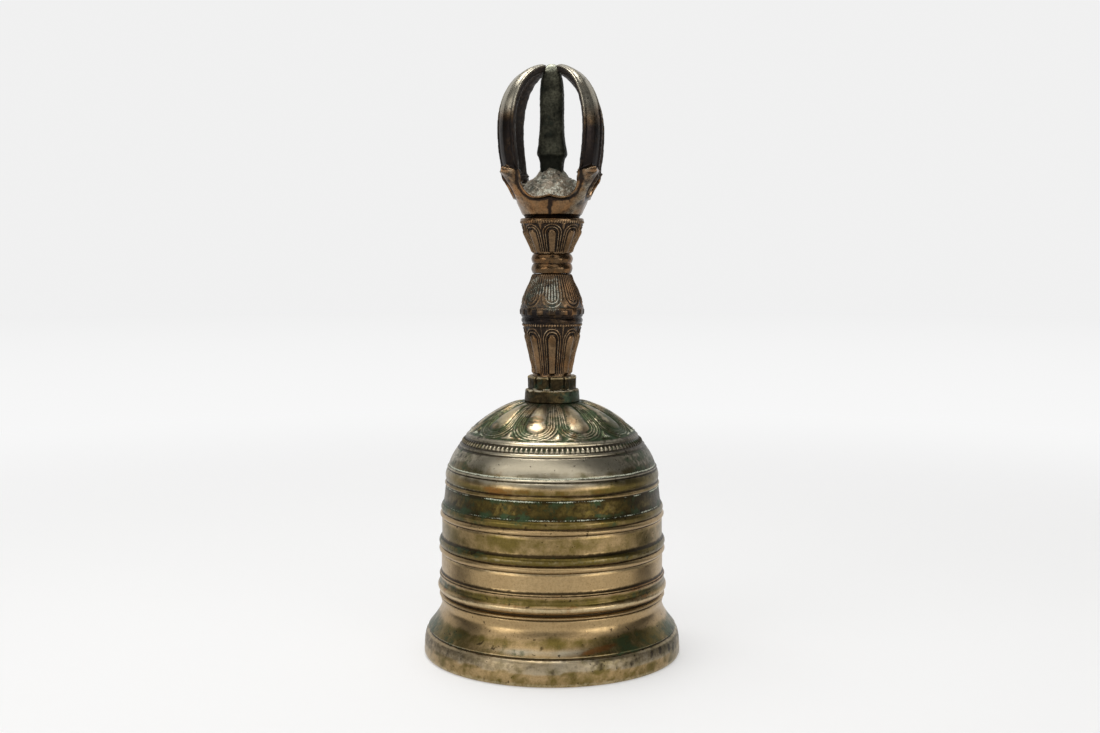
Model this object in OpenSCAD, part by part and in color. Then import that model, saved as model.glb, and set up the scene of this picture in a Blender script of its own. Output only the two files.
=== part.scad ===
// Hand bell with a five-pronged handle: a cast bell body, a handle of stacked castings held on
// one tang, and a clapper that hangs from the tang's eye. Millimetres, +Z up. The origin is the
// centre of the mouth, on the surface that the bell stands on, and the front faces -Y.

/* [Bell body] */
// Outer radius of the lip
mouth_r = 44.2; // [43.8:0.1:45.5]
// Height of the lip band
lip_h = 8.3; // [7.8:0.1:8.5]
// Radius of the waist above the flare
waist_r = 37.9; // [37.4:0.1:38.1]
// Thickness of the cast wall
wall = 3.4; // [2.5:0.1:4]
// Height of the flat crown that carries the handle
crown_h = 86.3; // [85.5:0.1:88]

/* [Handle] */
// Height of the lower collar
lower_collar_h = 4.4; // [3.5:0.1:6]
// Height of the upper collar
upper_collar_h = 4.6; // [3.5:0.1:6]
// Height of the grip above the upper collar
grip_h = 34.6; // [32:0.1:38]
// Height of the double neck ring
neck_h = 6.8; // [5:0.1:8]
// Height of the lotus cup with its flange
cup_h = 11.9; // [10:0.1:14]
// Number of slits round the upper collar
slit_count = 10; // [6:1:12]

/* [Prong crown] */
// Turn of the four prongs, seen from above, from the diagonals
prong_turn = -4.2; // [-10:0.1:10]
// Radius from the axis to the side edges of a prong at its widest
prong_r = 20.3; // [19.5:0.1:21]
// Half the width of a prong across its outer face
prong_half_w = 3.9; // [3.2:0.1:4.2]
// Thickness of a prong from its inner face to its side edges
prong_t = 2.7; // [2:0.1:3.2]
// Height from the foot of the calyx to the widest place of the prongs
prong_mid_h = 29.2; // [28:0.1:31]
// Height of the centre prong's tip above the foot of the calyx
spike_h = 51.4; // [51:0.1:53]

/* [Clapper] */
// Radius of the bob
bob_r = 7.5; // [6:0.1:8]
// Height of the bob's centre above the mouth's plane
bob_z = 15; // [13:0.5:20]
// Radius of the shank
shank_r = 1.5; // [1.2:0.1:2]
// Radius of the wire of the swivel ring
ring_wire_r = 0.8; // [0.6:0.05:0.8]

/* [Hidden] */
$fn = 64;

// The stack of the handle, from the crown up
lower_collar_z = crown_h;
upper_collar_z = lower_collar_z + lower_collar_h;
grip_z = upper_collar_z + upper_collar_h;
neck_z = grip_z + grip_h;
cup_z = neck_z + neck_h;
calyx_z = cup_z + cup_h;
prong_mid_z = calyx_z + prong_mid_h;

tang_r = 3;
tang_fit = 0.05;
collar_foot_r = 6.5;

// The inside of the crown, and what hangs under it
crown_t = 4.2;
crown_under_z = crown_h - crown_t;
washer_t = 1.4;
washer_r = 8;
wedge_h = 2.4;
wedge_t = 1.4;
wedge_len = 13;
wedge_z = crown_under_z - washer_t - wedge_h;
eye_z = wedge_z - 6.7;
eye_r = 1.6;
eye_t = 2;
eye_tongue_r = 3.2;
ring_drop = 0.5;
ring_r = 3.6;
ring_pivot_z = eye_z - ring_drop;
clapper_eye_r = 2.6;
clapper_eye_wire_r = 0.9;
eye_play = 0.1;
clapper_pivot_z = ring_pivot_z - 2 * ring_r + ring_wire_r + clapper_eye_wire_r + eye_play;
shank_top_z = clapper_pivot_z - 2 * clapper_eye_r;

bronze = [0.50, 0.43, 0.26];
dark_bronze = [0.33, 0.26, 0.16];
iron = [0.20, 0.20, 0.18];

// Points of a rounded band between two heights, from radius r0 to r1, that stands proud
function band(z0, z1, r0, r1, proud, steps = 6) = [
  for (i = [0:steps]) [
    r0 + (r1 - r0) * i / steps + proud * sin(180 * i / steps),
    z0 + (z1 - z0) * i / steps
  ]
];

// Outer outline of the bell body, from the rim up to the crown
lip_belly_z = 1.5;
lip_top_r = mouth_r - 0.95;
flare_z = lip_h + 0.9;
flare_h = 8.2;
flare_r = lip_top_r - 0.4 - waist_r;
dome_z = 76;
dome_r = 28.5;
dome_top_r = 10;

function lip() = [
  for (i = [0:6])
    let (t = i / 6)
    [mouth_r - 0.95 * t * t, lip_belly_z + (lip_h - lip_belly_z) * t]
];
function flare() = [
  for (i = [0:10])
    let (t = i / 10)
    [waist_r + flare_r * pow(1 - t, 1.6), flare_z + flare_h * t]
];
function dome() = [
  for (i = [0:12])
    let (r = dome_r + (dome_top_r - dome_r) * i / 12)
    [r, dome_z + (crown_h - dome_z) * (1 - pow((r - dome_top_r) / (dome_r - dome_top_r), 1.55))]
];
function body_outline() = concat(
  [[0, 0], [mouth_r - 0.9, 0]],
  lip(),
  [[lip_top_r - 0.55, lip_h + 0.45]],
  flare(),
  [[38.3, 19.2], [38.35, 20]],
  // Lower group: thin ridge, bulge, hollow, thin ridge
  band(20.2, 21.2, 38.45, 38.45, 0.4),
  [[38.1, 21.6]],
  band(22, 25.3, 38.5, 38.6, 0.8),
  [[38.8, 26.3]],
  band(27.4, 28.3, 38.65, 38.55, 0.35),
  // Lower panel and middle group
  [[38.1, 28.8], [38.05, 35]],
  band(35.4, 37.3, 38.35, 38.4, 0.4),
  [[38.45, 37.5]],
  band(37.7, 40.6, 38.5, 38.3, 0.45),
  // Upper panel and upper group
  [[37.9, 40.9], [37.8, 47.1]],
  band(47.5, 49.1, 38, 38, 0.45),
  [[37.9, 49.35]],
  band(49.6, 52, 37.9, 37.75, 0.35),
  // Sunk panel, thin ridge and smooth band
  [[37.5, 52.3], [36.5, 58.4]],
  band(58.6, 59.6, 36.55, 36.45, 0.35),
  [[36.25, 59.9]],
  band(60.1, 63.7, 36.4, 36.05, 0.3),
  [[35.8, 64]],
  band(64.2, 64.9, 35.75, 35.6, 0.25),
  // Smooth shoulder
  band(65.2, 71.2, 35.45, 32.2, 0.25, 8),
  [[31.8, 71.5], [31.85, 71.9], [31.5, 72.2], [29.9, 74.6]],
  band(74.9, 75.9, 29.4, 28.6, 0.3, 4),
  dome(),
  [[0, crown_h]]
);

// Inner outline: thick lip, even wall, and a dome that ends flat under the crown
function cavity_outline() = [
  [0, -1],
  [40, -1],
  [40, 3],
  [39.2, 8],
  [36.5, 12.5],
  [waist_r - wall, 17],
  [waist_r - wall, 48],
  [waist_r - wall - 1.1, 58],
  [waist_r - wall - 4.5, 68],
  [24.5, 74.5],
  [19, 79],
  [13, crown_under_z],
  [0, crown_under_z],
];

module tang_hole(z, h) {
  translate([0, 0, z - 1])
    cylinder(r = tang_r + tang_fit, h = h + 2);
}

module bell_body() {
  color(bronze)
    difference() {
      rotate_extrude($fn = 128)
        difference() {
          polygon(body_outline());
          polygon(cavity_outline());
        }
      tang_hole(crown_under_z, crown_t);
    }
}

module lower_collar() {
  foot_r = 9.45;
  top_r = 9.15;
  edge = 0.4;
  color(bronze)
    difference() {
      translate([0, 0, lower_collar_z])
        rotate_extrude()
          polygon([
            [0, 0], [foot_r, 0], [top_r, lower_collar_h - edge],
            [top_r - edge, lower_collar_h], [0, lower_collar_h],
          ]);
      tang_hole(lower_collar_z, lower_collar_h);
    }
}

module upper_collar() {
  collar_r = 8.25;
  slit_w = 0.6;
  slit_depth = 0.6;
  slit_turn = 12;
  slit_foot = 1;
  edge = 0.4;
  color(bronze)
    difference() {
      translate([0, 0, upper_collar_z])
        rotate_extrude()
          polygon([
            [collar_foot_r + tang_fit, 0], [collar_r, 0], [collar_r, upper_collar_h - edge],
            [collar_r - edge, upper_collar_h], [collar_foot_r + tang_fit, upper_collar_h],
          ]);
      for (i = [0:slit_count - 1])
        rotate([0, 0, slit_turn + i * 360 / slit_count])
          translate([collar_r - slit_depth, -slit_w / 2, upper_collar_z + slit_foot])
            cube([2 * slit_depth, slit_w, upper_collar_h]);
    }
}

// The grip: its foot stands inside the upper collar
function grip_outline(h) = concat(
  [[0, -upper_collar_h], [collar_foot_r, -upper_collar_h], [collar_foot_r, 0.4]],
  band(1, h * 0.5, 6.6, 9.9, -0.25, 8),
  [[10.1, h * 0.52], [10.15, h * 0.575]],
  band(h * 0.585, h * 0.74, 10.3, 9.95, 0.5, 6),
  band(h * 0.75, h * 0.97, 9.85, 6.9, 0.1, 6),
  [[6.6, h], [0, h]]
);

module grip_baluster() {
  color(dark_bronze)
    difference() {
      translate([0, 0, grip_z])
        rotate_extrude()
          polygon(grip_outline(grip_h));
      tang_hole(upper_collar_z, upper_collar_h + grip_h);
    }
}

module neck_ring() {
  ring_bulge = 0.45;
  color(dark_bronze)
    difference() {
      translate([0, 0, neck_z])
        rotate_extrude()
          polygon(concat(
            [[0, 0]],
            band(0.3, neck_h * 0.45, 6.6, 6.6, ring_bulge),
            band(neck_h * 0.5, neck_h * 0.93, 6.6, 6.6, ring_bulge),
            [[6.5, neck_h], [0, neck_h]]
          ));
      tang_hole(neck_z, neck_h);
    }
}

module lotus_cup() {
  flange_r = 10.8;
  flange_h = 1.6;
  flank = cup_h - flange_h;
  color(dark_bronze)
    difference() {
      translate([0, 0, cup_z])
        rotate_extrude()
          polygon(concat(
            [[0, 0]],
            band(0, flank, 6.6, 10.5, 0.25, 8),
            [[flange_r, flank + 0.3], [flange_r, cup_h - 0.3], [flange_r - 0.4, cup_h], [0, cup_h]]
          ));
      tang_hole(cup_z, cup_h);
    }
}

// Calyx of the prong crown: foot, flaring wall, flat floor and the mound round the centre prong
mound_top_r = 5.6;
mound_h = 16.4;
floor_h = 12;
floor_r = 8.6;
notch_h = 6.8;
notch_half_w = 9.45;
notch_mound_r = 11.4;

function calyx_outline() = [
  [0, 0], [9.3, 0], [9.3, 0.7], [10.1, 1], [11.4, 4.2], [12.6, 7], [14.6, 9.4],
  [16.9, 12], [18.6, 14], [20.2, 15], [19.8, 15.8], [17.5, 15.8], [16.4, floor_h],
  [floor_r, floor_h], [6.9, 13.4], [6, 15], [mound_top_r, mound_h], [0, mound_h],
];

// One slot across the calyx: two round lobes with a low cusp between them
module notch_shape() {
  lobe_r = 5.4;
  lobe_x = notch_half_w - lobe_r;
  cusp_h = 0.8;
  for (side = [-1, 1])
    translate([side * lobe_x, notch_h + lobe_r])
      circle(r = lobe_r);
  translate([-lobe_x, notch_h + cusp_h])
    square([2 * lobe_x, lobe_r]);
  translate([-notch_half_w, notch_h + lobe_r])
    square([2 * notch_half_w, 20]);
}

module calyx_notches() {
  reach = 30;
  difference() {
    for (turn = [0, 90])
      rotate([90, 0, turn])
        linear_extrude(height = 2 * reach, center = true)
          notch_shape();
    rotate_extrude()
      polygon([
        [0, 0], [notch_mound_r, 0], [notch_mound_r, notch_h + 0.2],
        [floor_r, floor_h], [6.9, 13.4], [6, 15], [mound_top_r, mound_h], [0, mound_h + 30],
      ]);
  }
}

// Section of a prong: radius across the page, width up it, with a low ridge on the outer face
prong_inner_half_w = 2;
prong_ridge = 1;
module prong_section(r) {
  polygon([
    [r - prong_t, -prong_inner_half_w], [r, -prong_half_w], [r + prong_ridge, 0],
    [r, prong_half_w], [r - prong_t, prong_inner_half_w],
  ]);
}

// A prong in the plane of X and Z, at the height of its widest place: a quarter turn above that
// closes in on the axis, and a flatter arc below it that runs down into the calyx
module prong() {
  lower_arc_r = 47;
  lower_arc_turn = 16;
  upper_arc_r = 21.3;
  upper_arc_turn = 80;
  tip_x = 4.3;
  tip_half_w = 1.7;
  far_x = 26;
  far_half_w = 5.4;
  intersection() {
    union() {
      translate([prong_r - upper_arc_r, 0, 0])
        rotate([90, 0, 0])
          rotate_extrude(angle = upper_arc_turn)
            prong_section(upper_arc_r);
      translate([prong_r - lower_arc_r, 0, 0])
        rotate([90, 0, 0])
          rotate([0, 0, -lower_arc_turn])
            rotate_extrude(angle = lower_arc_turn)
              prong_section(lower_arc_r);
    }
    // The prong narrows evenly towards its tip, which is cut off upright
    translate([0, 0, -20])
      linear_extrude(height = 60)
        polygon([
          [tip_x, -tip_half_w], [far_x, -far_half_w], [far_x, far_half_w], [tip_x, tip_half_w],
        ]);
  }
}

// The beak where a prong leaves the calyx
module prong_beak() {
  beak_z = 14.6;
  beak_h = 3.4;
  translate([0, 0, beak_z])
    rotate([90, 0, 0])
      linear_extrude(height = 1.6, center = true)
        polygon([[18, 0], [22.2, 0.2], [22.4, 0.9], [19.4, beak_h], [18, beak_h]]);
}

module prong_crown() {
  color(dark_bronze)
    translate([0, 0, calyx_z])
      rotate([0, 0, prong_turn])
        difference() {
          union() {
            difference() {
              rotate_extrude()
                polygon(calyx_outline());
              calyx_notches();
            }
            for (i = [0:3])
              rotate([0, 0, 45 + 90 * i]) {
                translate([0, 0, prong_mid_h])
                  prong();
                prong_beak();
              }
          }
          tang_hole(0, mound_h);
        }
}

// Half outline of the square centre prong, the same from the front and from the side
module spike_shape() {
  half = [
    [3.85, mound_h], [3.9, 18.5], [4.9, 21.4], [4.5, 24.6], [4, 29], [3.85, 41.5],
    [3.6, 44.8], [3, 47], [2.4, 48.8], [1.6, 50.6], [0.8, spike_h],
  ];
  polygon(concat(half, [for (i = [len(half) - 1:-1:0]) [-half[i][0], half[i][1]]]));
}

module spike_slab() {
  rotate([90, 0, 0])
    linear_extrude(height = 12, center = true)
      spike_shape();
}

// Centre prong and tang in one piece, with a slot for the wedge and an eye for the clapper
module centre_prong() {
  tongue_top_z = wedge_z - 1.6;
  color(iron)
    union() {
      translate([0, 0, calyx_z])
        rotate([0, 0, prong_turn])
          intersection() {
            spike_slab();
            rotate([0, 0, 90])
              spike_slab();
          }
      difference() {
        translate([0, 0, tongue_top_z])
          cylinder(r = tang_r, h = calyx_z + mound_h - tongue_top_z);
        translate([-wedge_len / 2, -wedge_t / 2 - tang_fit, wedge_z - 0.6])
          cube([wedge_len, wedge_t + 2 * tang_fit, wedge_h + 0.7]);
      }
      difference() {
        union() {
          translate([0, 0, eye_z])
            rotate([90, 0, 0])
              cylinder(r = eye_tongue_r, h = eye_t, center = true);
          translate([-2.6, -eye_t / 2, eye_z])
            cube([5.2, eye_t, tongue_top_z - eye_z + 0.4]);
        }
        translate([0, 0, eye_z])
          rotate([90, 0, 0])
            cylinder(r = eye_r, h = eye_t + 2, center = true);
      }
    }
}

module crown_washer() {
  color(iron)
    translate([0, 0, crown_under_z - washer_t])
      difference() {
        cylinder(r = washer_r, h = washer_t);
        tang_hole(0, washer_t);
      }
}

// Wedge, thinner at one end, that bears on the washer from below
module tang_wedge() {
  taper = 0.5;
  color(iron)
    translate([0, 0, wedge_z])
      rotate([90, 0, 0])
        linear_extrude(height = wedge_t, center = true)
          polygon([
            [-wedge_len / 2, taper], [wedge_len / 2, -taper / 2],
            [wedge_len / 2, wedge_h], [-wedge_len / 2, wedge_h],
          ]);
}

module swivel_ring() {
  color(iron)
    translate([0, 0, ring_pivot_z - ring_r])
      rotate([0, 90, 0])
        rotate_extrude()
          translate([ring_r, 0])
            circle(r = ring_wire_r);
}

module clapper_shank() {
  peen_h = 1;
  shank_foot_z = bob_z - bob_r - peen_h;
  color(iron) {
    translate([0, 0, clapper_pivot_z - clapper_eye_r])
      rotate([90, 0, 0])
        rotate_extrude()
          translate([clapper_eye_r, 0])
            circle(r = clapper_eye_wire_r);
    translate([0, 0, shank_foot_z])
      cylinder(r = shank_r, h = shank_top_z - shank_foot_z);
  }
}

// Bob: a ball that runs up into a cone, bored for the shank
module clapper_bob() {
  neck_r = 2.6;
  neck_rise = 1.9;
  color(iron)
    difference() {
      translate([0, 0, bob_z])
        rotate_extrude()
          difference() {
            union() {
              circle(r = bob_r);
              polygon([
                [0, 0], [bob_r * cos(35), bob_r * sin(35)],
                [neck_r, bob_r * neck_rise], [0, bob_r * neck_rise],
              ]);
            }
            translate([-2 * bob_r, -2 * bob_r])
              square([2 * bob_r, 5 * bob_r]);
          }
      translate([0, 0, bob_z - 2 * bob_r])
        cylinder(r = shank_r + tang_fit, h = 5 * bob_r);
    }
}

bell_body();
lower_collar();
upper_collar();
grip_baluster();
neck_ring();
lotus_cup();
prong_crown();
centre_prong();
crown_washer();
tang_wedge();
swivel_ring();
clapper_shank();
clapper_bob();
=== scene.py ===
"""Looks of a cast bronze hand bell: a moulded body with a petalled dome, two collars, a grip of
stacked castings, a crown of four prongs round a centre prong, and a clapper on a swivel ring.
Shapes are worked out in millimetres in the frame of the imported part; meshes are made in metres."""

import math
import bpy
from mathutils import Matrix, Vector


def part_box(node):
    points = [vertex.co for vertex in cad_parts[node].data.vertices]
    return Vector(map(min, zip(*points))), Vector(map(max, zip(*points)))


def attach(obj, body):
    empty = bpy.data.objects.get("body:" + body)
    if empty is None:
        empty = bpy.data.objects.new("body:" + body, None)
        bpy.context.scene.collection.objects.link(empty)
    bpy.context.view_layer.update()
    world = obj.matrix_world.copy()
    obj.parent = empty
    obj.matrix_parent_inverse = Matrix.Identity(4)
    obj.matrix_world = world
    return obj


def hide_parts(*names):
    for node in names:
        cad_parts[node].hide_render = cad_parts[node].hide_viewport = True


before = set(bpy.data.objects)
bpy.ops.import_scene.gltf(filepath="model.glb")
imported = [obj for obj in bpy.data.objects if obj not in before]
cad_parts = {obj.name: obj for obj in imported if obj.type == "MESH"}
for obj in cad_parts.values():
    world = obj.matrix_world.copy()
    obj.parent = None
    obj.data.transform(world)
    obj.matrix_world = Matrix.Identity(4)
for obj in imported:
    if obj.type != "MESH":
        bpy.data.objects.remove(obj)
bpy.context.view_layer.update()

from types import SimpleNamespace

import bpy
import numpy as np
from mathutils import Vector

MM = 0.001
TURN = 2 * math.pi
FRONT = -math.pi / 2  # the front of the bell faces -Y
X, Y, Z = np.eye(3)


def span(node):
    """Lowest and highest Z of a CAD node, in millimetres."""
    low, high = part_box(node)
    return low.z / MM, high.z / MM


def reach(node):
    """Largest X of a CAD node, in millimetres."""
    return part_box(node)[1].x / MM


# ---------------------------------------------------------------- noise and curves

def smooth(a, b, x):
    """0 below a, 1 above b, with a smooth step between them."""
    t = np.clip((x - a) / (b - a), 0, 1)
    return t * t * (3 - 2 * t)


def bump(x, centre, half_width):
    """A rounded ridge of height 1 across x."""
    return np.exp(-((x - centre) / half_width) ** 2)


def window(x, a, b, soft):
    """1 between a and b, 0 outside, with soft edges."""
    return smooth(a - soft, a + soft, x) * (1 - smooth(b - soft, b + soft, x))


def lattice(seed):
    return np.random.RandomState(seed).rand(32, 32, 32)


def noise(points, size, seed):
    """Smooth value noise from -1 to 1 at points in millimetres, with lumps of the given size."""
    grid = lattice(seed)
    p = np.asarray(points) / size + 200
    i = np.floor(p).astype(int)
    f = p - i
    f = f * f * (3 - 2 * f)
    total = 0
    for dx in (0, 1):
        for dy in (0, 1):
            for dz in (0, 1):
                w = (np.abs(1 - dx - f[..., 0]) * np.abs(1 - dy - f[..., 1])
                     * np.abs(1 - dz - f[..., 2]))
                total = total + w * grid[(i[..., 0] + dx) % 32, (i[..., 1] + dy) % 32,
                                         (i[..., 2] + dz) % 32]
    return 2 * total - 1


def fractal(points, size, seed, octaves=3):
    """Noise with finer, weaker noise on top of it."""
    return sum(noise(points, size / 2 ** k, seed + k) / 2 ** k for k in range(octaves))


def resample(outline, step):
    """Points along an outline about step apart, corners kept; step may be a function of height."""
    points = [outline[0]]
    for a, b in zip(outline[:-1], outline[1:]):
        a, b = np.array(a, float), np.array(b, float)
        want = step((a[1] + b[1]) / 2) if callable(step) else step
        count = max(1, round(np.linalg.norm(b - a) / want))
        points += [tuple(a + (b - a) * k / count) for k in range(1, count + 1)]
    return np.array(points)


def curve(points, count=8):
    """A smooth line through the points (Catmull-Rom), with count steps for each stretch."""
    p = np.array([points[0], *points, points[-1]], float)
    line = [p[1]]
    for k in range(1, len(p) - 2):
        for t in np.linspace(0, 1, count + 1)[1:]:
            line.append(0.5 * (2 * p[k] + (p[k + 1] - p[k - 1]) * t
                               + (2 * p[k - 1] - 5 * p[k] + 4 * p[k + 1] - p[k + 2]) * t * t
                               + (3 * p[k] - p[k - 1] - 3 * p[k + 1] + p[k + 2]) * t ** 3))
    return [tuple(q) for q in line]


def lifted(foot, points):
    """Points of an outline whose heights are given above a foot."""
    return [(r, foot + h) for r, h in points]


def band(z0, z1, r0, r1, proud, steps=7):
    """A rounded band between two heights that stands proud of its chord."""
    return [(r0 + (r1 - r0) * k / steps + proud * math.sin(math.pi * k / steps),
             z0 + (z1 - z0) * k / steps) for k in range(steps + 1)]


# ---------------------------------------------------------------- meshes

def new_object(name, co, faces):
    """A smooth-shaded object from corners in millimetres and faces as lists of corner numbers."""
    mesh = bpy.data.meshes.new(name)
    mesh.from_pydata((np.asarray(co) * MM).tolist(), [], faces)
    mesh.polygons.foreach_set("use_smooth", [True] * len(mesh.polygons))
    mesh.update()
    obj = bpy.data.objects.new(name, mesh)
    bpy.context.scene.collection.objects.link(obj)
    return obj


def corners(obj):
    """The corners of an object's mesh, in millimetres."""
    co = np.zeros(len(obj.data.vertices) * 3, np.float32)
    obj.data.vertices.foreach_get("co", co)
    return co.reshape(-1, 3).astype(float) / MM


def set_corners(obj, co):
    obj.data.vertices.foreach_set("co", (co * MM).astype(np.float32).ravel())
    obj.data.update()


def normals(obj):
    n = np.zeros(len(obj.data.vertices) * 3, np.float32)
    obj.data.vertex_normals.foreach_get("vector", n)
    return n.reshape(-1, 3).astype(float)


def paint(obj, name, values):
    """Stores one number for each corner, for the material to read."""
    layer = obj.data.attributes.get(name) or obj.data.attributes.new(name, "FLOAT", "POINT")
    layer.data.foreach_set("value", np.clip(values, 0, 1).astype(np.float32))


def coat(obj, **masks):
    """Paints several masks, each under its own name."""
    for name, values in masks.items():
        paint(obj, name, values)


def relief_of(obj, rounds):
    """How far each corner stands proud of the surface round it, in millimetres."""
    edges = np.zeros(len(obj.data.edges) * 2, np.int32)
    obj.data.edges.foreach_get("vertices", edges)
    a, b = edges.reshape(-1, 2).T
    co = corners(obj)
    count = np.bincount(a, minlength=len(co)) + np.bincount(b, minlength=len(co))
    flat = co.copy()
    for _ in range(rounds):
        for axis in range(3):
            total = (np.bincount(a, flat[b, axis], len(co)) + np.bincount(b, flat[a, axis], len(co)))
            flat[:, axis] = 0.5 * flat[:, axis] + 0.5 * total / np.maximum(count, 1)
    return ((co - flat) * normals(obj)).sum(1)


def azimuth_of(co):
    """Angle round the axis from the front, towards +X, in degrees."""
    return np.degrees(np.arctan2(co[..., 0], -co[..., 1]))


def wrap(degrees, pitch):
    """Angle from the nearest multiple of pitch."""
    return (degrees + pitch / 2) % pitch - pitch / 2


def lathe(name, stretches, relief=None):
    """A closed ring-shaped surface. Each stretch is (outline points, columns); a stretch may have
    a whole number of times more or fewer columns than the last one. relief(azimuth, radius,
    height, points) gives how far to push a corner outwards."""
    rows, faces, co, heights, start = [], [], [], [], 0
    for points, columns in stretches:
        points = np.asarray(points, float)
        along = np.gradient(points, axis=0)
        along /= np.linalg.norm(along, axis=1)[:, None]
        normal = np.stack([along[:, 1], -along[:, 0]], 1)
        angle = FRONT + np.arange(columns) * TURN / columns
        direction = np.stack([np.cos(angle), np.sin(angle)], 1)
        place = np.zeros((len(points), columns, 3))
        place[..., :2] = points[:, None, :1] * direction
        place[..., 2] = points[:, None, 1]
        outward = np.zeros_like(place)
        outward[..., :2] = normal[:, None, :1] * direction
        outward[..., 2] = normal[:, None, 1]
        if relief:
            azimuth = np.degrees(np.arange(columns) * TURN / columns)[None, :]
            azimuth = np.where(azimuth > 180, azimuth - 360, azimuth)
            push = relief(azimuth, points[:, :1], points[:, 1:], place)
            push = np.broadcast_to(push, place.shape[:2])
            place = place + outward * push[..., None]
            heights.append(push.ravel())
        for row in range(len(points)):
            rows.append((start + row * columns, columns))
        co.append(place.reshape(-1, 3))
        start += len(points) * columns
    rows.append(rows[0])
    for (first, n), (second, m) in zip(rows[:-1], rows[1:]):
        if n == m:
            j = np.arange(n)
            k = (j + 1) % n
            faces += np.stack([first + j, first + k, second + k, second + j], 1).tolist()
        elif m > n:
            s = m // n
            for j in range(n):
                fine = [second + (j * s + t) % m for t in range(s + 1)]
                faces.append([first + j, first + (j + 1) % n, *fine[::-1]])
        else:
            s = n // m
            for j in range(m):
                fine = [first + (j * s + t) % n for t in range(s + 1)]
                faces.append([*fine, second + (j + 1) % m, second + j])
    made = new_object(name, np.concatenate(co), faces)
    if relief:
        made.data.attributes.new("height", "FLOAT", "POINT").data.foreach_set(
            "value", np.concatenate(heights).astype(np.float32))
    return made


def height_of(obj):
    """How far each corner of a lathed surface was pushed out of its outline, in millimetres."""
    values = np.zeros(len(obj.data.vertices), np.float32)
    obj.data.attributes["height"].data.foreach_get("value", values)
    return values.astype(float)


def sweep(path, section, capped=True):
    """Corners and faces of a section carried along a path. path is a list of (place, across,
    outward, scale across, scale outward); section is a list of (across, outward)."""
    co, faces, n = [], [], len(section)
    for place, across, outward, wide, deep in path:
        co += [place + across * a * wide + outward * b * deep for a, b in section]
    for row in range(len(path) - 1):
        for j in range(n):
            k = (j + 1) % n
            faces.append([row * n + j, row * n + k, (row + 1) * n + k, (row + 1) * n + j])
    if capped:
        faces += [list(range(n))[::-1], [(len(path) - 1) * n + j for j in range(n)]]
    else:
        last = (len(path) - 1) * n
        faces += [[last + j, last + (j + 1) % n, (j + 1) % n, j] for j in range(n)]
    return np.array(co), faces


def tube(line, radius, sides=10, closed=False):
    """A round wire along a line; radius may be a list with one value for each point."""
    line = np.asarray(line, float)
    if closed:
        along = np.roll(line, -1, 0) - np.roll(line, 1, 0)
    else:
        along = np.gradient(line, axis=0)
    along /= np.linalg.norm(along, axis=1)[:, None]
    radii = np.broadcast_to(radius, len(line))
    helper = np.array([0.31, 0.95, 0.1])
    across = helper - along[0] * (helper @ along[0])
    path = []
    for place, t, r in zip(line, along, radii):
        across = across - t * (across @ t)
        across = across / np.linalg.norm(across)
        path.append((place, across, np.cross(t, across), r, r))
    ring = [(math.cos(TURN * k / sides), math.sin(TURN * k / sides)) for k in range(sides)]
    return sweep(path, ring, capped=not closed)


def fuse(name, shells, voxel, rounds=2):
    """One skin round overlapping closed shells, smoothed a little."""
    co, faces, start = [], [], 0
    for shell_co, shell_faces in shells:
        co.append(shell_co)
        faces += [[start + v for v in face] for face in shell_faces]
        start += len(shell_co)
    loose = new_object(name + "_loose", np.concatenate(co), faces)
    remesh = loose.modifiers.new("one_skin", "REMESH")
    remesh.mode = "VOXEL"
    remesh.voxel_size = voxel * MM
    soft = loose.modifiers.new("soft", "SMOOTH")
    soft.factor = 0.5
    soft.iterations = rounds
    return applied(name, loose)


def applied(name, obj):
    """A new object with obj's modifiers applied; obj is removed."""
    shape = obj.evaluated_get(bpy.context.evaluated_depsgraph_get())
    mesh = bpy.data.meshes.new_from_object(shape)
    mesh.polygons.foreach_set("use_smooth", [True] * len(mesh.polygons))
    done = bpy.data.objects.new(name, mesh)
    bpy.context.scene.collection.objects.link(done)
    old = obj.data
    bpy.data.objects.remove(obj)
    bpy.data.meshes.remove(old)
    mesh.name = name
    return done


def roughened(obj, amount, size, seed):
    """obj with the unevenness of a hand-made surface."""
    co = corners(obj)
    set_corners(obj, co + normals(obj) * amount * fractal(co, size, seed)[:, None])
    return obj


def rounded_square(sides, power):
    """Outline of a square of half width 1 whose corners are sharper for a higher power."""
    ring = []
    for k in range(sides):
        c, s = math.cos(TURN * k / sides), math.sin(TURN * k / sides)
        g = (abs(c) ** power + abs(s) ** power) ** (-1 / power)
        ring.append((c * g, s * g))
    return ring


def shell_of(obj):
    """Corners and faces of an object, which is removed."""
    data = corners(obj), [list(p.vertices) for p in obj.data.polygons]
    mesh = obj.data
    bpy.data.objects.remove(obj)
    bpy.data.meshes.remove(mesh)
    return data


def cut(obj, cutters):
    """obj with closed cutter shells taken out of it."""
    tools = []
    for k, (co, faces) in enumerate(cutters):
        tools.append(new_object(f"cutter_{k}", co, faces))
        take = obj.modifiers.new(f"cut_{k}", "BOOLEAN")
        take.operation = "DIFFERENCE"
        take.solver = "EXACT"
        take.object = tools[-1]
    done = applied(obj.name + "_cut", obj)
    for tool in tools:
        bpy.data.objects.remove(tool)
    return done


def rotated(shell, degrees):
    """A shell turned round the axis."""
    co, faces = shell
    c, s = math.cos(math.radians(degrees)), math.sin(math.radians(degrees))
    return np.stack([co[:, 0] * c - co[:, 1] * s, co[:, 0] * s + co[:, 1] * c, co[:, 2]], 1), faces


# ---------------------------------------------------------------- bell body

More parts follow.
